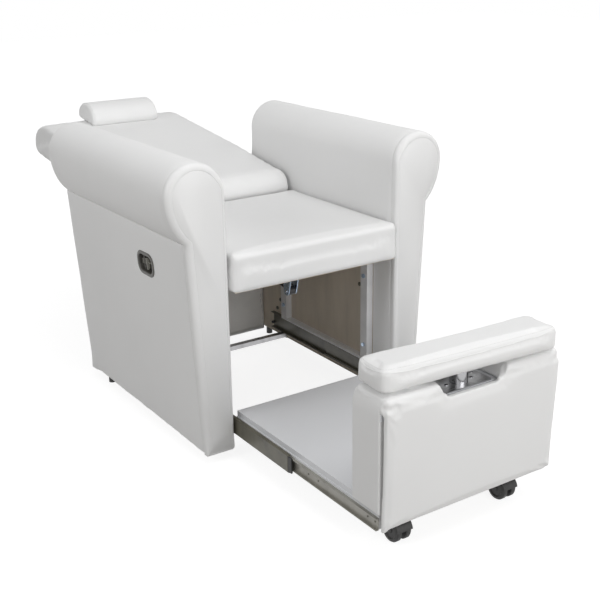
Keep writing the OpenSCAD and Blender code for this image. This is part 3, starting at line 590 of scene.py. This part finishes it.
def puff(piece, voxel, cap, pinned, limit, smooth):
    """Swells a padded shape as cloth under pressure. pinned(point) holds what rests on a board,
    cap is the furthest that a point may move and limit(point) keeps it inside its room."""
    modify(piece, "REMESH", mode="VOXEL", voxel_size=voxel)
    modify(piece, "SMOOTH", factor=0.5, iterations=smooth)
    bake(piece)
    rest = [v.co.copy() for v in piece.data.vertices]
    group = piece.vertex_groups.new(name="held")
    group.add([i for i, p in enumerate(rest) if pinned(p)], 1.0, "REPLACE")
    cloth = modify(piece, "CLOTH").settings
    cloth.quality = 4
    cloth.mass = CLOTH_MASS
    cloth.use_pressure = True
    cloth.uniform_pressure_force = CLOTH_PRESSURE
    cloth.vertex_group_mass = "held"
    cloth.effector_weights.gravity = 0
    for f in range(1, CLOTH_FRAMES + 1):
        scene.frame_set(f)
    bake(piece)
    piece.vertex_groups.clear()
    for v, start in zip(piece.data.vertices, rest):
        step = v.co - start
        if step.length > cap:
            step *= cap / step.length
        v.co = start + step
    scene.frame_set(1)
    modify(piece, "SUBSURF", levels=1, render_levels=1)
    bake(piece)
    for v in piece.data.vertices:
        limit(v.co)
    piece.data.shade_smooth()


# ---- Arms ----

def roll_section():
    """The roll's outline in X and Z, from the neck over the top to the inner face."""
    neck, side = Vector((NECK_X, NECK_H)), Vector((ROLL_X + ROLL_R, ROLL_H))
    step = side - neck
    return (curve(neck, neck + Vector((0.54 * step.x, 0.21 * step.y)),
                  Vector((side.x, neck.y + 0.56 * step.y)), side, 16)
            + arc((ROLL_X, ROLL_H), ROLL_R, 0, 180, 48))


def arm_outline():
    corner = 0.009
    return (arc((HALF + corner, GLIDE_H + corner), corner, 180, 270, 4)
            + line((HALF + corner, GLIDE_H), (FOOT_X, GLIDE_H), 5)[1:]
            + line((FOOT_X, GLIDE_H), (NECK_X, NECK_H), 26)
            + roll_section() + line((HALF, ROLL_H - 0.02), (HALF, GLIDE_H + corner), 30))


def front_rim(p):
    """The radius of the front panel's edge at a point of its outline."""
    up = eased((p.y - GLIDE_H) / 0.05)
    inner, outer = 0.0045 + 0.0045 * up, 0.005 + 0.0105 * up
    if p.y > ROLL_H:
        angle = math.degrees(math.atan2(p.y - ROLL_H, p.x - ROLL_X))
        return inner + (outer - inner) * eased((180 - angle) / 40)
    return outer if p.x > HALF + 0.02 else inner


def arm_front_shape():
    """The front panel: a rounded rim with a sewn line inside it."""
    outline = arm_outline()
    rim = [front_rim(p) for p in outline]
    loops = [([y] * len(rim), [d] * len(rim))
             for y, d in ((PANEL_T - 0.0003, 0.0010), (PANEL_T - 0.0012, 0.0002),
                          (PANEL_T - 0.0035, 0.0))]
    for a in range(0, 91, 15):
        s, c = 1 - sind(a), 1 - cosd(a)
        loops.append(([r * s for r in rim], [r * c for r in rim]))
    for y, d in ((0.0, 0.0008), (0.0006, 0.0015), (0.0, 0.0023)):
        loops.append(([y] * len(rim), [r + d for r in rim]))
    return loft([[Vector((p.x, FRONT + y, p.y)) for p, y in zip(inset(outline, ds), ys)]
                 for ys, ds in loops])


def arm_cover_shape():
    """The roll and the padded inner face under it, in one skin, rounded at the rear."""
    inner_low = SEAT_H + 0.001
    back = HALF + PANEL_T
    neck_x, under = NECK_X - 0.008, NECK_H - 0.004
    roll_low = 0.56       # from here up the cover runs to the roll's rear end
    start, crease, n = FRONT + PANEL_T, 0.0022, 30
    outline = (line((HALF, inner_low), (back, inner_low), 3)
               + line((back, inner_low), (back, under), 6)
               + line((back, under), (neck_x, under), 6)
               + [Vector((neck_x, NECK_H - 0.001))]
               + roll_section() + line((HALF, ROLL_H - 0.012), (HALF, inner_low), 18))
    def end_r(p):
        return 0.005 + 0.013 * eased((p.y - roll_low) / 0.12)
    def rear(p):
        share = eased((p.y - roll_low) / 0.05)
        return (arm_rear(p.y) - BOARD_T) * (1 - share) + ROLL_REAR * share
    rings = []
    for step, depth in ((0.0, 0.0020), (0.0006, 0.0007), (crease, 0.0)):
        rings.append([Vector((p.x, start + step, p.y)) for p in inset(outline, depth)])
    for k in range(1, n):
        rings.append([Vector((p.x, start + crease + (rear(p) - end_r(p) - start - crease) * k / n,
                              p.y)) for p in outline])
    for a in range(0, 91, 10):
        s = 1 - sind(a)
        depths = [end_r(p) * (1 - cosd(a)) for p in outline]
        rings.append([Vector((q.x, rear(p) - end_r(p) * s, q.y))
                      for p, q in zip(outline, inset(outline, depths))])
    return loft(rings)


SIDE_T, REAR_T = 0.018, 0.013     # padding of the arms' sides and of their rear panels
PAD_LOW = GLIDE_H + 0.001


def arm_side_shape():
    """The outer side, whose rear lower corner hangs out a little."""
    high = NECK_H
    def place(u, v, w):
        h = PAD_LOW + (high - PAD_LOW) * v
        y = FRONT + PANEL_T + (arm_rear(h) - FRONT - PANEL_T) * u
        tip = eased((u - 0.90) / 0.10) * eased(1 - v / 0.10)
        return Vector((arm_x(h) - SIDE_T + w + 0.004 * tip, y, h - 0.006 * tip))
    return panel_shape(place, 0.72, high - PAD_LOW, SIDE_T, 0.006, crown=0.0010)


def arm_rear_shape():
    high = NECK_H - 0.004
    def place(u, v, w):
        h = PAD_LOW + (high - PAD_LOW) * v
        x = HALF + 0.001 + (arm_x(h) - PANEL_T - HALF - 0.001) * u
        return Vector((x, arm_rear(h) - REAR_T + w, h))
    return panel_shape(place, 0.08, high - PAD_LOW, REAR_T, 0.004, crown=0.001)


def arm_strip_shape():
    """The covered edge of the front panel's padding under the seat."""
    high, depth = SEAT_H + 0.0005, 0.079
    def place(u, v, w):
        return Vector((HALF + SIDE_T - w, FRONT + PANEL_T + depth * u,
                       PAD_LOW + (high - PAD_LOW) * v))
    return panel_shape(place, depth, high - PAD_LOW, SIDE_T, 0.004, crown=0.0008)


def build_arm(side, name):
    front = covering(name + "_front_panel", mirrored(arm_front_shape(), side), "chair")
    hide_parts(name + "_arm_front")
    cover = covering(name + "_roll_cover", mirrored(arm_cover_shape(), side), "chair")
    ripple(cover, 0.0008, 0.09)
    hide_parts(name + "_arm_roll", name + "_arm_pad")
    panel = covering(name + "_side_panel", mirrored(arm_side_shape(), side), "chair")
    ripple(panel, 0.0009, 0.13)
    ripple(panel, 0.0016, 0.035, near_hem(0.05, GLIDE_H))
    if side < 0:
        hole = loft([[Vector((p.x, p.y, z)) for p in rounded_outline(*HANDLE_HOLE)]
                     for z in (-0.04, 0.02)])
        combined(panel, moved(hole, handle_place()), "DIFFERENCE")
    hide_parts(name + "_arm_side")
    rear = covering(name + "_rear_panel", mirrored(arm_rear_shape(), side), "chair")
    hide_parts(name + "_arm_rear")
    strip = covering(name + "_inner_strip", mirrored(arm_strip_shape(), side), "chair")


# ---- Release handle ----

HANDLE_HOLE = (0.0466, 0.0766, 0.0143)     # hole in the arm's cover: two sizes, corner radius
HANDLE_RIM = (0.064, 0.094, 0.026)         # outer edge of the bezel, in the same way


def handle_place():
    """The handle's own frame: X up the arm, Y rearwards, Z out of the arm."""
    lean = math.atan((NECK_X - FOOT_X) / (NECK_H - GLIDE_H))
    return (Matrix.Translation((-arm_x(HANDLE_H), HANDLE_Y, HANDLE_H))
            @ Matrix.Rotation(-math.pi / 2 - lean, 4, "Y"))


def build_handle():
    """The bezel and its cup, as loops of height and inset from the bezel's edge."""
    outline = rounded_outline(*HANDLE_RIM, side_n=6, arc_n=10)
    floor, wall = -0.0245, 0.0022
    loops = [(floor - wall, 0.0130), (floor - wall, 0.0115), (floor, 0.0096), (-0.0004, 0.0092),
             (-0.0004, 0.0006), (0.0004, 0.0), (0.0018, 0.0002), (0.0027, 0.0010),
             (0.0030, 0.0022), (0.0030, 0.0074), (0.0026, 0.0086), (0.0012, 0.0094),
             (-0.0020, 0.0100), (floor + 0.006, 0.0116), (floor + 0.0016, 0.0132),
             (floor, 0.0165), (floor, 0.0185)]
    shape = loft([[Vector((p.x, p.y, z)) for p in inset(outline, d)] for z, d in loops])
    bezel = new_piece("handle_bezel", moved(shape, handle_place()), BRONZE, "chair",
                      sharp=50)
    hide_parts("handle_cup")


def build_lever():
    """The paddle: a bar across the cup's front half that tapers back into a hollowed tongue."""
    rear, bar_y, bar_half, bar_r, thick = 0.0305, -0.0040, 0.0170, 0.0080, 0.0042
    tip_half, tab_x, tab_half, tab_r = 0.0068, 0.0045, 0.0021, 0.0014
    sides = 24
    def half_width(y):
        if y > bar_y:
            t = (y - bar_y) / (rear - bar_y)
            return tip_half + (bar_half - tip_half) * (1 - t) ** 1.6
        return bar_half - bar_r + math.sqrt(max(bar_r ** 2 - (y - bar_y) ** 2, 0))
    def height(y):
        t = (rear - y) / (rear - bar_y)
        if t > 1:
            return 0.0004 - 0.0050 * ((bar_y - y) / bar_r) ** 2
        return (-0.0038 - 0.0040 * math.sin(math.pi * min(1, t * 1.3))
                + 0.0042 * eased((t - 0.6) / 0.4))
    ys = [bar_y - bar_r * cosd(a) for a in (4, 20, 36, 52, 68, 90)]
    ys += [bar_y + (rear - bar_y) * k / 18 for k in range(1, 19)]
    rings = []
    for y in ys:
        w, z = half_width(y), height(y)
        ring = []
        for k in range(sides):
            c, s = math.cos(2 * math.pi * k / sides), math.sin(2 * math.pi * k / sides)
            x = w * math.copysign(abs(c) ** 0.35, c)
            dish = 0.0012 * (1 - (x / w) ** 2) if y > 0 else 0
            ring.append(Vector((x, y, z - thick / 2 - dish
                                + thick / 2 * math.copysign(abs(s) ** 0.6, s))))
        rings.append(ring)
    tab = [[Vector((tab_x + tab_half * math.copysign(abs(math.cos(a)) ** 0.5, math.cos(a)),
                    y, z + tab_r * math.sin(a))) for a in [math.pi * k / 6 for k in range(12)]]
           for y, z in ((-0.0080, -0.0034), (-0.0150, -0.0036), (-0.0215, -0.0048),
                        (-0.0255, -0.0075), (-0.0268, -0.0105))]
    shape = joined(loft(rings), loft(tab))
    paddle = new_piece("lever_paddle", moved(shape, handle_place()), PADDLE, "lever",
                       sharp=50)
    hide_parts("release_lever")


# ---- Cushions ----

def build_seat():
    w, d, t = 0.5125, SEAT_REAR - SEAT_FRONT - 0.002, 0.0972
    centre = Vector((0, (SEAT_FRONT + SEAT_REAR) / 2, SEAT_H + 0.0005))
    def edge(p):
        front = eased((-p.y - d / 2 + 0.026) / 0.022) * eased((w / 2 - abs(p.x) - 0.001) / 0.012)
        rear = eased((p.y - d / 2 + 0.020) / 0.018)
        return 0.0045 + 0.0085 * front + 0.0015 * rear
    outline = rounded_outline(w, d, 0.017, side_n=14, draw=0.0005)
    seat = covering("seat_cover", moved(cushion_shape(outline, t, edge, 0.003, 0.0022),
                                        Matrix.Translation(centre)), "chair", sharp=SOFT)
    gap, high = 0.0014, 0.1012
    def limit(p):
        p.x = min(HALF - gap, max(gap - HALF, p.x))
        p.y = min(p.y, SEAT_REAR + 0.0015)
        p.z = min(max(p.z, SEAT_H + 0.0003), SEAT_H + high)
    puff(seat, 0.0060, 0.003, lambda p: p.z < SEAT_H + 0.008, limit, smooth=1)
    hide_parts("seat_cushion")


def back_outline():
    """The backrest along it and across its thickness, anticlockwise from the nose's top."""
    lift, flat_end, reach, n = 0.0072, 0.670, 0.7965, 20
    slope_end, under_end, tip_z = 0.66, 0.737, -0.020
    top, under = BACK_R + lift, -BACK_R - 0.0045
    nose = arc((0, 0), BACK_R, 90, 270, 22)
    bottom = line((0, -BACK_R), (slope_end, under), 18)[1:]
    end = (line((slope_end, under), (under_end, under), 3)
           + curve((under_end, under), (0.773, under), (reach, -0.043), (reach, tip_z), 7)
           + curve((reach, tip_z), (reach, 0.022), (0.750, top), (flat_end, top), 12))
    over = []
    for k in range(n):
        u = flat_end * (1 - k / n)
        over.append(Vector((u, BACK_R + lift * eased(u / 0.30))))
    return nose + bottom + end + over


def build_back():
    half, edge_r, crown = 0.2515, 0.011, 0.0015
    outline = back_outline()
    rings = [(half - edge_r + edge_r * cosd(a), edge_r * (1 - sind(a)), 0.0) for a in QUARTER]
    rings += [(half * f, 0.0, crown * (1 - f ** 4)) for f in (0.9, 0.78, 0.6, 0.4, 0.2, 0.0)]
    full = rings + [(-x, m, c) for x, m, c in reversed(rings[:-1])]
    shape = loft([[Vector((x, p.x, p.y + (c if p.y > 0 else 0))) for p in inset(outline, m)]
                  for x, m, c in full])
    back = covering("backrest_cover", moved(shape, BACK), "backrest", sharp=SOFT)
    down = BACK.inverted()
    widest = half + 0.0030
    def limit(p):
        p.x = min(widest, max(-widest, p.x))
        q = down @ p
        q.z = max(q.z, -BACK_R - 0.0058)
        if q.y < 0 and abs(q.z) < BACK_R + 0.01:
            out = math.hypot(q.y, q.z)
            q *= min(1.0, (BACK_R + 0.0022) / max(out, 1e-6))
        p[:] = BACK @ q
    puff(back, 0.0075, 0.0035, lambda p: (down @ p).z < -BACK_R + 0.012, limit, smooth=2)
    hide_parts("backrest_cushion")


def build_pillow():
    length, depth, height, end_r, foot = 0.240, 0.137, 0.0660, 0.012, 0.017
    rim, seam_in, seam_h, seam_n = depth / 2, 0.0090, 0.032, 56
    section = (line((-rim + foot, 0.0015), (rim - foot, 0.0015), 12)
               + arc((rim - foot, foot + 0.001), foot, -90, 0, 6)
               + [Vector((rim * cosd(a), foot + (height - foot) * sind(a)))
                  for a in range(6, 175, 6)]
               + arc((foot - rim, foot + 0.001), foot, 180, 270, 6))
    rings = [(length / 2 - end_r + end_r * cosd(a), end_r * (1 - sind(a))) for a in QUARTER]
    rings += [(length / 2 * f, 0.0) for f in (0.8, 0.6, 0.4, 0.2, 0.0)]
    full = rings + [(-x, m) for x, m in reversed(rings[:-1])]
    shape = loft([[Vector((x, p.x, p.y)) for p in inset(section, m)] for x, m in full])
    place = BACK @ Matrix.Translation((0.014, 0.680, BACK_R + PILLOW_RISE))
    pillow = covering("pillow_cover", moved(shape, place), "pillow", sharp=SOFT)
    down = place.inverted()
    def limit(p):
        q = down @ p
        q.z = max(q.z, 0.0004)
        p[:] = place @ q
    puff(pillow, 0.005, 0.003, lambda p: (down @ p).z < 0.006, limit, smooth=1)
    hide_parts("head_pillow")
    tree = surface_of(pillow)
    for side, name in ((-1, "left"), (1, "right")):
        middle = Vector((side * (length / 2 - seam_in), 0, seam_h))
        ring = []
        for k in range(seam_n):
            a = 2 * math.pi * k / seam_n
            out = Vector((0, math.cos(a), math.sin(a)))
            hit = landed(tree, place @ (middle + out * 0.2), place.to_3x3() @ -out, 0.0002)
            if hit:
                ring.append(hit)
        covering("pillow_seam_" + name, tube(ring, 0.0009, closed=True), "pillow")


def build_footrest():
    turn = (Matrix.Translation((POST.x, POST.y, FOOT_LO + 0.0005))
            @ Matrix.Rotation(math.radians(-3), 4, "Z") @ Matrix.Translation((0.004, 0.002, 0)))
    w, d, t, edge_r, foot_r, crown = 0.4815, 0.1060, 0.0525, 0.012, 0.006, 0.0035
    seam_w, seam_d, seam_r = 0.486, 0.1105, 0.022
    outline = rounded_outline(w, d, 0.021, side_n=14, arc_n=8, draw=0.0008)
    shape = moved(cushion_shape(outline, t, lambda p: edge_r, foot_r, crown), turn)
    cushion = covering("footrest_cover", shape, "footrest", sharp=SOFT)
    def limit(p):
        p.z = min(max(p.z, FOOT_LO + 0.0004), FOOT_HI + 0.0025)
    puff(cushion, 0.0045, 0.0025, lambda p: p.z < FOOT_LO + 0.005, limit, smooth=3)
    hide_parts("footrest_cushion")
    tree = surface_of(cushion)
    def around(margin):
        path = rounded_outline(seam_w - 2 * margin, seam_d - 2 * margin, seam_r - margin * 0.6,
                               side_n=30)
        hits = [landed(tree, turn @ Vector((p.x, p.y, 0.12)), (0, 0, -1), 0.0001) for p in path]
        return [p for p in hits if p]
    covering("footrest_seam", tube(around(0.0055), 0.0008, closed=True), "footrest")
    path = around(0.0105)
    new_piece("footrest_stitching", stitches(path + path[:1], 0.0045, 0.0012, 0.0004), THREAD,
              "footrest")


# ---- Footrest box ----

def wedge(bottom, top, z0, z1, ys):
    """A block with leaning ends from z0 to z1; bottom, top and ys are spans in X, X and Y."""
    corners = ((bottom[0], z0), (bottom[1], z0), (top[1], z1), (top[0], z1))
    return loft([[Vector((x, y, z)) for x, z in corners] for y in ys])


def build_box():
    """The top's padding with its notch, the front's padding joined to it, and the two sides."""
    x, front = BOX_HI.x, BOX_LO.y
    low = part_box("box_sides")[0].z
    notch, notch_y, notch_top = 0.074, (front - 0.03, front + 0.095), PAD_TOP + 0.01
    lean = 0.005          # the front leans forward and widens by this towards its top
    side_d, side_fall = 0.0958, 0.017
    reach = (POST.x - notch, POST.x + notch)
    outline = rounded_outline(2 * x + 0.002, 0.114, 0.013, side_n=14)
    shape = moved(cushion_shape(outline, 0.0385, lambda p: 0.0125, 0.001, 0.0012),
                  Matrix.Translation((0.0025, front + 0.052, LID_TOP)))
    pad = covering("box_cover", shape, "drawer", sharp=SOFT)
    combined(pad, wedge(reach, (reach[0] - 0.026, reach[1] + 0.036), LID_TOP - 0.01, notch_top,
                        notch_y), "DIFFERENCE")
    def place(u, v, w):
        sag = eased((abs(u - 0.5) - 0.45) / 0.05) * eased(1 - v / 0.12)
        drop = 0.004 * sag if u < 0.5 else -0.005 * sag
        return Vector((-x + 0.001 + (2 * x - 0.001 + lean * v) * u,
                       front + 0.0100 - lean * v - w,
                       BOX_LO.z + (LID_TOP + 0.012 - BOX_LO.z) * v - drop))
    slab = covering("slab", panel_shape(place, 2 * x, 0.29, 0.0125, 0.0055), "drawer")
    combined(slab, wedge(reach, reach, LID_TOP + 0.0035, notch_top, notch_y), "DIFFERENCE")
    slab_shape = ([v.co.copy() for v in slab.data.vertices],
                  [tuple(p.vertices) for p in slab.data.polygons])
    bpy.data.objects.remove(slab)
    combined(pad, slab_shape, "UNION")
    def limit(p):
        p.x = min(0.2575, max(-0.2520, p.x))
        p.z = min(p.z, FOOT_LO - 0.0015)
        if p.y > front + 0.0135:
            p.z = max(p.z, LID_TOP + 0.0003)
    puff(pad, 0.0045, 0.0028, lambda p: p.y > front + 0.006 and p.z < LID_TOP + 0.004, limit,
         smooth=1)
    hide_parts("box_front", "box_top_pad")
    for side, name in ((-1, "left"), (1, "right")):
        def side_place(u, v, w):
            tuck = 0.007 * eased((v - 0.93) / 0.07)
            bend = min(1.0, max(0.0, (u - 0.80) / 0.20))
            high = PAD_TOP - 0.005 - side_fall * (1 - math.sqrt(1 - bend * bend))
            return Vector((side * (x - 0.012 + w - tuck), front + 0.0140 + side_d * u,
                           low + (high - low) * v))
        panel = covering("box_%s_panel" % name,
                         panel_shape(side_place, side_d, 0.27, 0.0134, 0.0045, crown=0.0006),
                         "drawer")
        ripple(panel, 0.0010, 0.05)
        if side < 0:
            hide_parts("box_sides")


# ---- Back skirt ----

def build_skirt():
    """The covered panel, the lining on its inside and the staples at the lining's edge."""
    lo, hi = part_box("back_skirt")
    width, height = hi.x - lo.x, hi.z - lo.z
    def place(u, v, w):
        return Vector((lo.x + 0.001 + (width - 0.002) * u, lo.y + 0.002 + w, lo.z + height * v))
    outer = covering("skirt_cover", panel_shape(place, width, height, hi.y - lo.y - 0.002, 0.004,
                                                crown=0.001), "chair")
    ripple(outer, 0.0012, 0.05, near_hem(0.06, lo.z))
    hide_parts("back_skirt")
    rows, cols, verts = 40, 60, []
    for j in range(rows + 1):
        for i in range(cols + 1):
            u, v = i / cols, j / rows
            p = Vector((lo.x + 0.003 + (width - 0.006) * u, 0, lo.z + 0.006 + (height - 0.012) * v))
            fold = 0.0006 * noise.noise(Vector((p.x * 12, 3.0, p.z * 7)))
            wave = noise.noise(Vector((p.x * 26, 9.0, 0.5)))
            hem = max(0.0, 1 - v / 0.12) * 0.0022 * (0.5 + wave)
            p.y = lo.y + 0.0012 + fold - hem * 0.6
            p.z += hem
            verts.append(p)
    sheet = new_piece("skirt_lining", (verts, grid_faces(cols + 1, rows + 1)), LINING, "chair")
    modify(sheet, "SOLIDIFY", thickness=0.0008, offset=0)
    bake(sheet)
    staples, staple_n, spacing = [], 20, 0.020
    y = lo.y - 0.0002
    for k in range(staple_n):
        z = lo.z + 0.02 + spacing * k
        x = hi.x - 0.010 + 0.0035 * math.sin(7.3 * k)
        lean = 0.004 * math.sin(3.1 * k)
        staples.append(tube([Vector((x - lean, y + 0.002, z - 0.006)),
                             Vector((x - lean, y, z - 0.0058)), Vector((x + lean, y, z + 0.0058)),
                             Vector((x + lean, y + 0.002, z + 0.006))], 0.0006, sides=5))
    new_piece("skirt_staples", joined(*staples), STEEL, "chair")


# ---- Small fittings ----

OUTER_X, STOP_X = 0.2584, 0.2475           # a slide's back wall and the front bumper's face
CAP_XS = (0.2543, 0.2497)                  # the two faces of a slide middle's cap
RIVET_X = 0.24245
STOP_YS, CAP_YS = (0.0305, 0.0365), (-0.256, -0.2401)
STOP_ZS, CAP_ZS = (-0.0250, -0.0235), (-0.0205, 0.0205)
RIVET_YS = (-0.312, -0.352, -0.540, -0.566)
BOLT_PLACES = ((0.587, 0.162), (0.607, 0.128), (0.587, 0.262), (0.160, 0.330))


def slide_block(side, xs, ys, zs, round_r):
    """A block in a slide: spans from the chair's middle, the arms' front and the slide's middle."""
    x0, x1 = sorted(side * x for x in xs)
    return block((x0, FRONT + ys[0], SLIDE_H + zs[0]), (x1, FRONT + ys[1], SLIDE_H + zs[1]),
                 round_r)


def build_fittings():
    """Bumpers in the slides, their rivets, and bolt heads on the arm boards."""
    stops, caps, rivets, bolts = [], [], [], []
    for side in (-1, 1):
        stops.append(disc((side * 0.2580, FRONT + 0.6250, SLIDE_H - 0.010), (-side, 0, 0), 0.0045,
                          0.0110))
        stops.append(slide_block(side, (OUTER_X, STOP_X), STOP_YS, STOP_ZS, 0.0006))
        caps.append(slide_block(side, CAP_XS, CAP_YS, CAP_ZS, 0.0025))
        for y in RIVET_YS:
            rivets.append(disc((side * RIVET_X, FRONT + y, SLIDE_H + 0.002), (side, 0, 0), 0.0024,
                               0.0009, sides=14))
        for y, z in BOLT_PLACES:
            bolts.append(disc((side * HALF, FRONT + y, z), (-side, 0, 0), 0.0060, 0.0030))
    new_piece("slide_stops", joined(*stops), NYLON, "chair")
    new_piece("slide_caps", joined(*caps), NYLON, "slide_middles")
    # The rivets and the bolt heads in the bay take the zinc darkened as painted shade
    new_piece("slide_rivets", joined(*rivets), SHADED_ZINC, "drawer")
    new_piece("board_bolts", joined(*bolts), SHADED_ZINC, "chair")


# ---- The CAD parts' looks ----

LOOKS = {
    BOARD: ["arm_boards", "arm_bottoms", "seat_board", "backrest_board", "box_bottom"],
    WHITE: ["front_posts", "rear_posts", "base_bars", "top_rails"],
    LAMINATE: ["drawer_shelf", "shelf_battens", "box_rear", "box_lid"],
    STEEL: ["floor_crossbar", "hinge_plates", "post_flange", "gas_spring_pin",
            "backrest_shaft"],
    BRONZE: ["handle_pin", "lever_spring"],
    # The outer and middle slide members take the zinc darkened as painted shade
    SHADED_ZINC: ["left_slide_outer", "right_slide_outer", "left_slide_middle",
                 "right_slide_middle"],
    WORN_ZINC: ["left_slide_inner", "right_slide_inner"],
    BLUE_ZINC: ["gas_spring_bracket", "gas_spring_rear_pin", "frame_bolts"],
    # The post and its screws take the chrome darkened as a painted reflection
    CHROME: ["footrest_post", "flange_screws"],
    BLACK_PAINT: ["gas_spring_rod", "gas_spring_cylinder", "footrest_plate"],
    NYLON: ["arm_glides", "slide_bumpers", "left_castor_frame", "right_castor_frame",
            "left_castor_wheels", "right_castor_wheels"],
}


def dress_cad_parts():
    for look, names in LOOKS.items():
        for name in names:
            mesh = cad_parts[name].data
            mesh.materials.clear()
            mesh.materials.append(look)


# ---- Room ----

FLOOR_REACH = 12                           # half of the floor's side
FLOOR_SEEN, FLOOR_GLOW = 0.30, 0.86        # the floor as it is seen: its grey and its glow
GLOW_FROM, GLOW_TO = 1.2, 2.8              # distances over which the glow rises to white
FLOOR_LIGHT = (0.31, 0.30, 0.285, 1)       # the floor as it lights the chair
WHITE_SKY, SKY_STRENGTH = (1, 1, 1, 1), 0.24
LAMPS = (     # name, place, target, size, power
    ("right", (3.2, -1.2, 2.4), (0, 0, 0.4), (2.0, 2.0), 21),
    ("front", (0.4, -4.2, 1.4), (0, 0, 0.4), (2.4, 1.8), 63),
    ("front_left", (-2.4, -3.4, 2.2), (0, 0, 0.4), (2.0, 2.0), 10),
    ("left", (-3.4, -0.5, 2.1), (0, 0, 0.5), (2.0, 2.0), 36),
    ("above", (0.2, 0.4, 3.4), (0, 0, 0.4), (2.6, 2.6), 17),
    ("above_front", (0.3, -1.6, 3.3), (0, 0, 0.4), (2.2, 1.6), 25),
)


def seen_ray(tree):
    """1 for what the camera, a reflection or glass sees directly."""
    path = tree.nodes.new("ShaderNodeLightPath")
    total = path.outputs["Is Camera Ray"]
    for name in ("Is Glossy Ray", "Is Transmission Ray"):
        step = tree.nodes.new("ShaderNodeMath")
        step.operation = "ADD"
        step.use_clamp = True
        tree.links.new(total, step.inputs[0])
        tree.links.new(path.outputs[name], step.inputs[1])
        total = step.outputs[0]
    return total


def end_in(tree, output, lit, seen):
    """Ends the tree in two shaders: lit for the light it gives, seen for direct sight."""
    mix, out = tree.nodes.new("ShaderNodeMixShader"), tree.nodes.new(output)
    for source, target in ((seen_ray(tree), mix.inputs["Fac"]), (lit.outputs[0], mix.inputs[1]),
                           (seen.outputs[0], mix.inputs[2]),
                           (mix.outputs[0], out.inputs["Surface"])):
        tree.links.new(source, target)


def add_floor():
    mesh = bpy.data.meshes.new("floor")
    corners = ((-1, -1), (1, -1), (1, 1), (-1, 1))
    mesh.from_pydata([(x * FLOOR_REACH, y * FLOOR_REACH, 0) for x, y in corners], [],
                     [(0, 1, 2, 3)])
    floor = bpy.data.objects.new("floor", mesh)
    scene.collection.objects.link(floor)
    mat = bpy.data.materials.new("floor")
    mat.use_nodes = True
    tree = mat.node_tree
    tree.nodes.clear()
    plain = tree.nodes.new("ShaderNodeBsdfDiffuse")
    plain.inputs["Color"].default_value = FLOOR_LIGHT
    pale = tree.nodes.new("ShaderNodeBsdfDiffuse")
    pale.inputs["Color"].default_value = (FLOOR_SEEN, FLOOR_SEEN, FLOOR_SEEN, 1)
    glow = tree.nodes.new("ShaderNodeEmission")
    place = tree.nodes.new("ShaderNodeNewGeometry")
    away = tree.nodes.new("ShaderNodeVectorMath")
    away.operation = "LENGTH"
    rise = tree.nodes.new("ShaderNodeMapRange")
    for key, value in (("From Min", GLOW_FROM), ("From Max", GLOW_TO), ("To Min", FLOOR_GLOW),
                       ("To Max", 1.0)):
        rise.inputs[key].default_value = value
    tree.links.new(place.outputs["Position"], away.inputs[0])
    tree.links.new(away.outputs["Value"], rise.inputs["Value"])
    tree.links.new(rise.outputs[0], glow.inputs["Strength"])
    both = tree.nodes.new("ShaderNodeAddShader")
    tree.links.new(pale.outputs[0], both.inputs[0])
    tree.links.new(glow.outputs[0], both.inputs[1])
    end_in(tree, "ShaderNodeOutputMaterial", plain, both)
    mesh.materials.append(mat)


def add_world():
    world = bpy.data.worlds.new("world")
    scene.world = world
    world.use_nodes = True
    tree = world.node_tree
    tree.nodes.clear()
    light = tree.nodes.new("ShaderNodeBackground")
    light.inputs["Color"].default_value = WHITE_SKY
    light.inputs["Strength"].default_value = SKY_STRENGTH
    white = tree.nodes.new("ShaderNodeBackground")
    white.inputs["Color"].default_value = WHITE_SKY
    end_in(tree, "ShaderNodeOutputWorld", light, white)


def add_lamp(name, place, target, size, power):
    data = bpy.data.lights.new(name, "AREA")
    data.shape = "RECTANGLE"
    data.size, data.size_y = size
    data.energy = power
    lamp = bpy.data.objects.new(name, data)
    lamp.location = place
    lamp.rotation_euler = (Vector(target) - Vector(place)).to_track_quat("-Z", "Y").to_euler()
    scene.collection.objects.link(lamp)


# ---- The scene ----

scene.view_settings.view_transform = "Standard"
add_camera()
add_floor()
add_world()
for lamp in LAMPS:
    add_lamp(*lamp)
dress_cad_parts()
build_arm(-1, "left")
build_arm(1, "right")
build_handle()
build_lever()
build_seat()
build_back()
build_pillow()
build_footrest()
build_box()
build_skirt()
build_fittings()
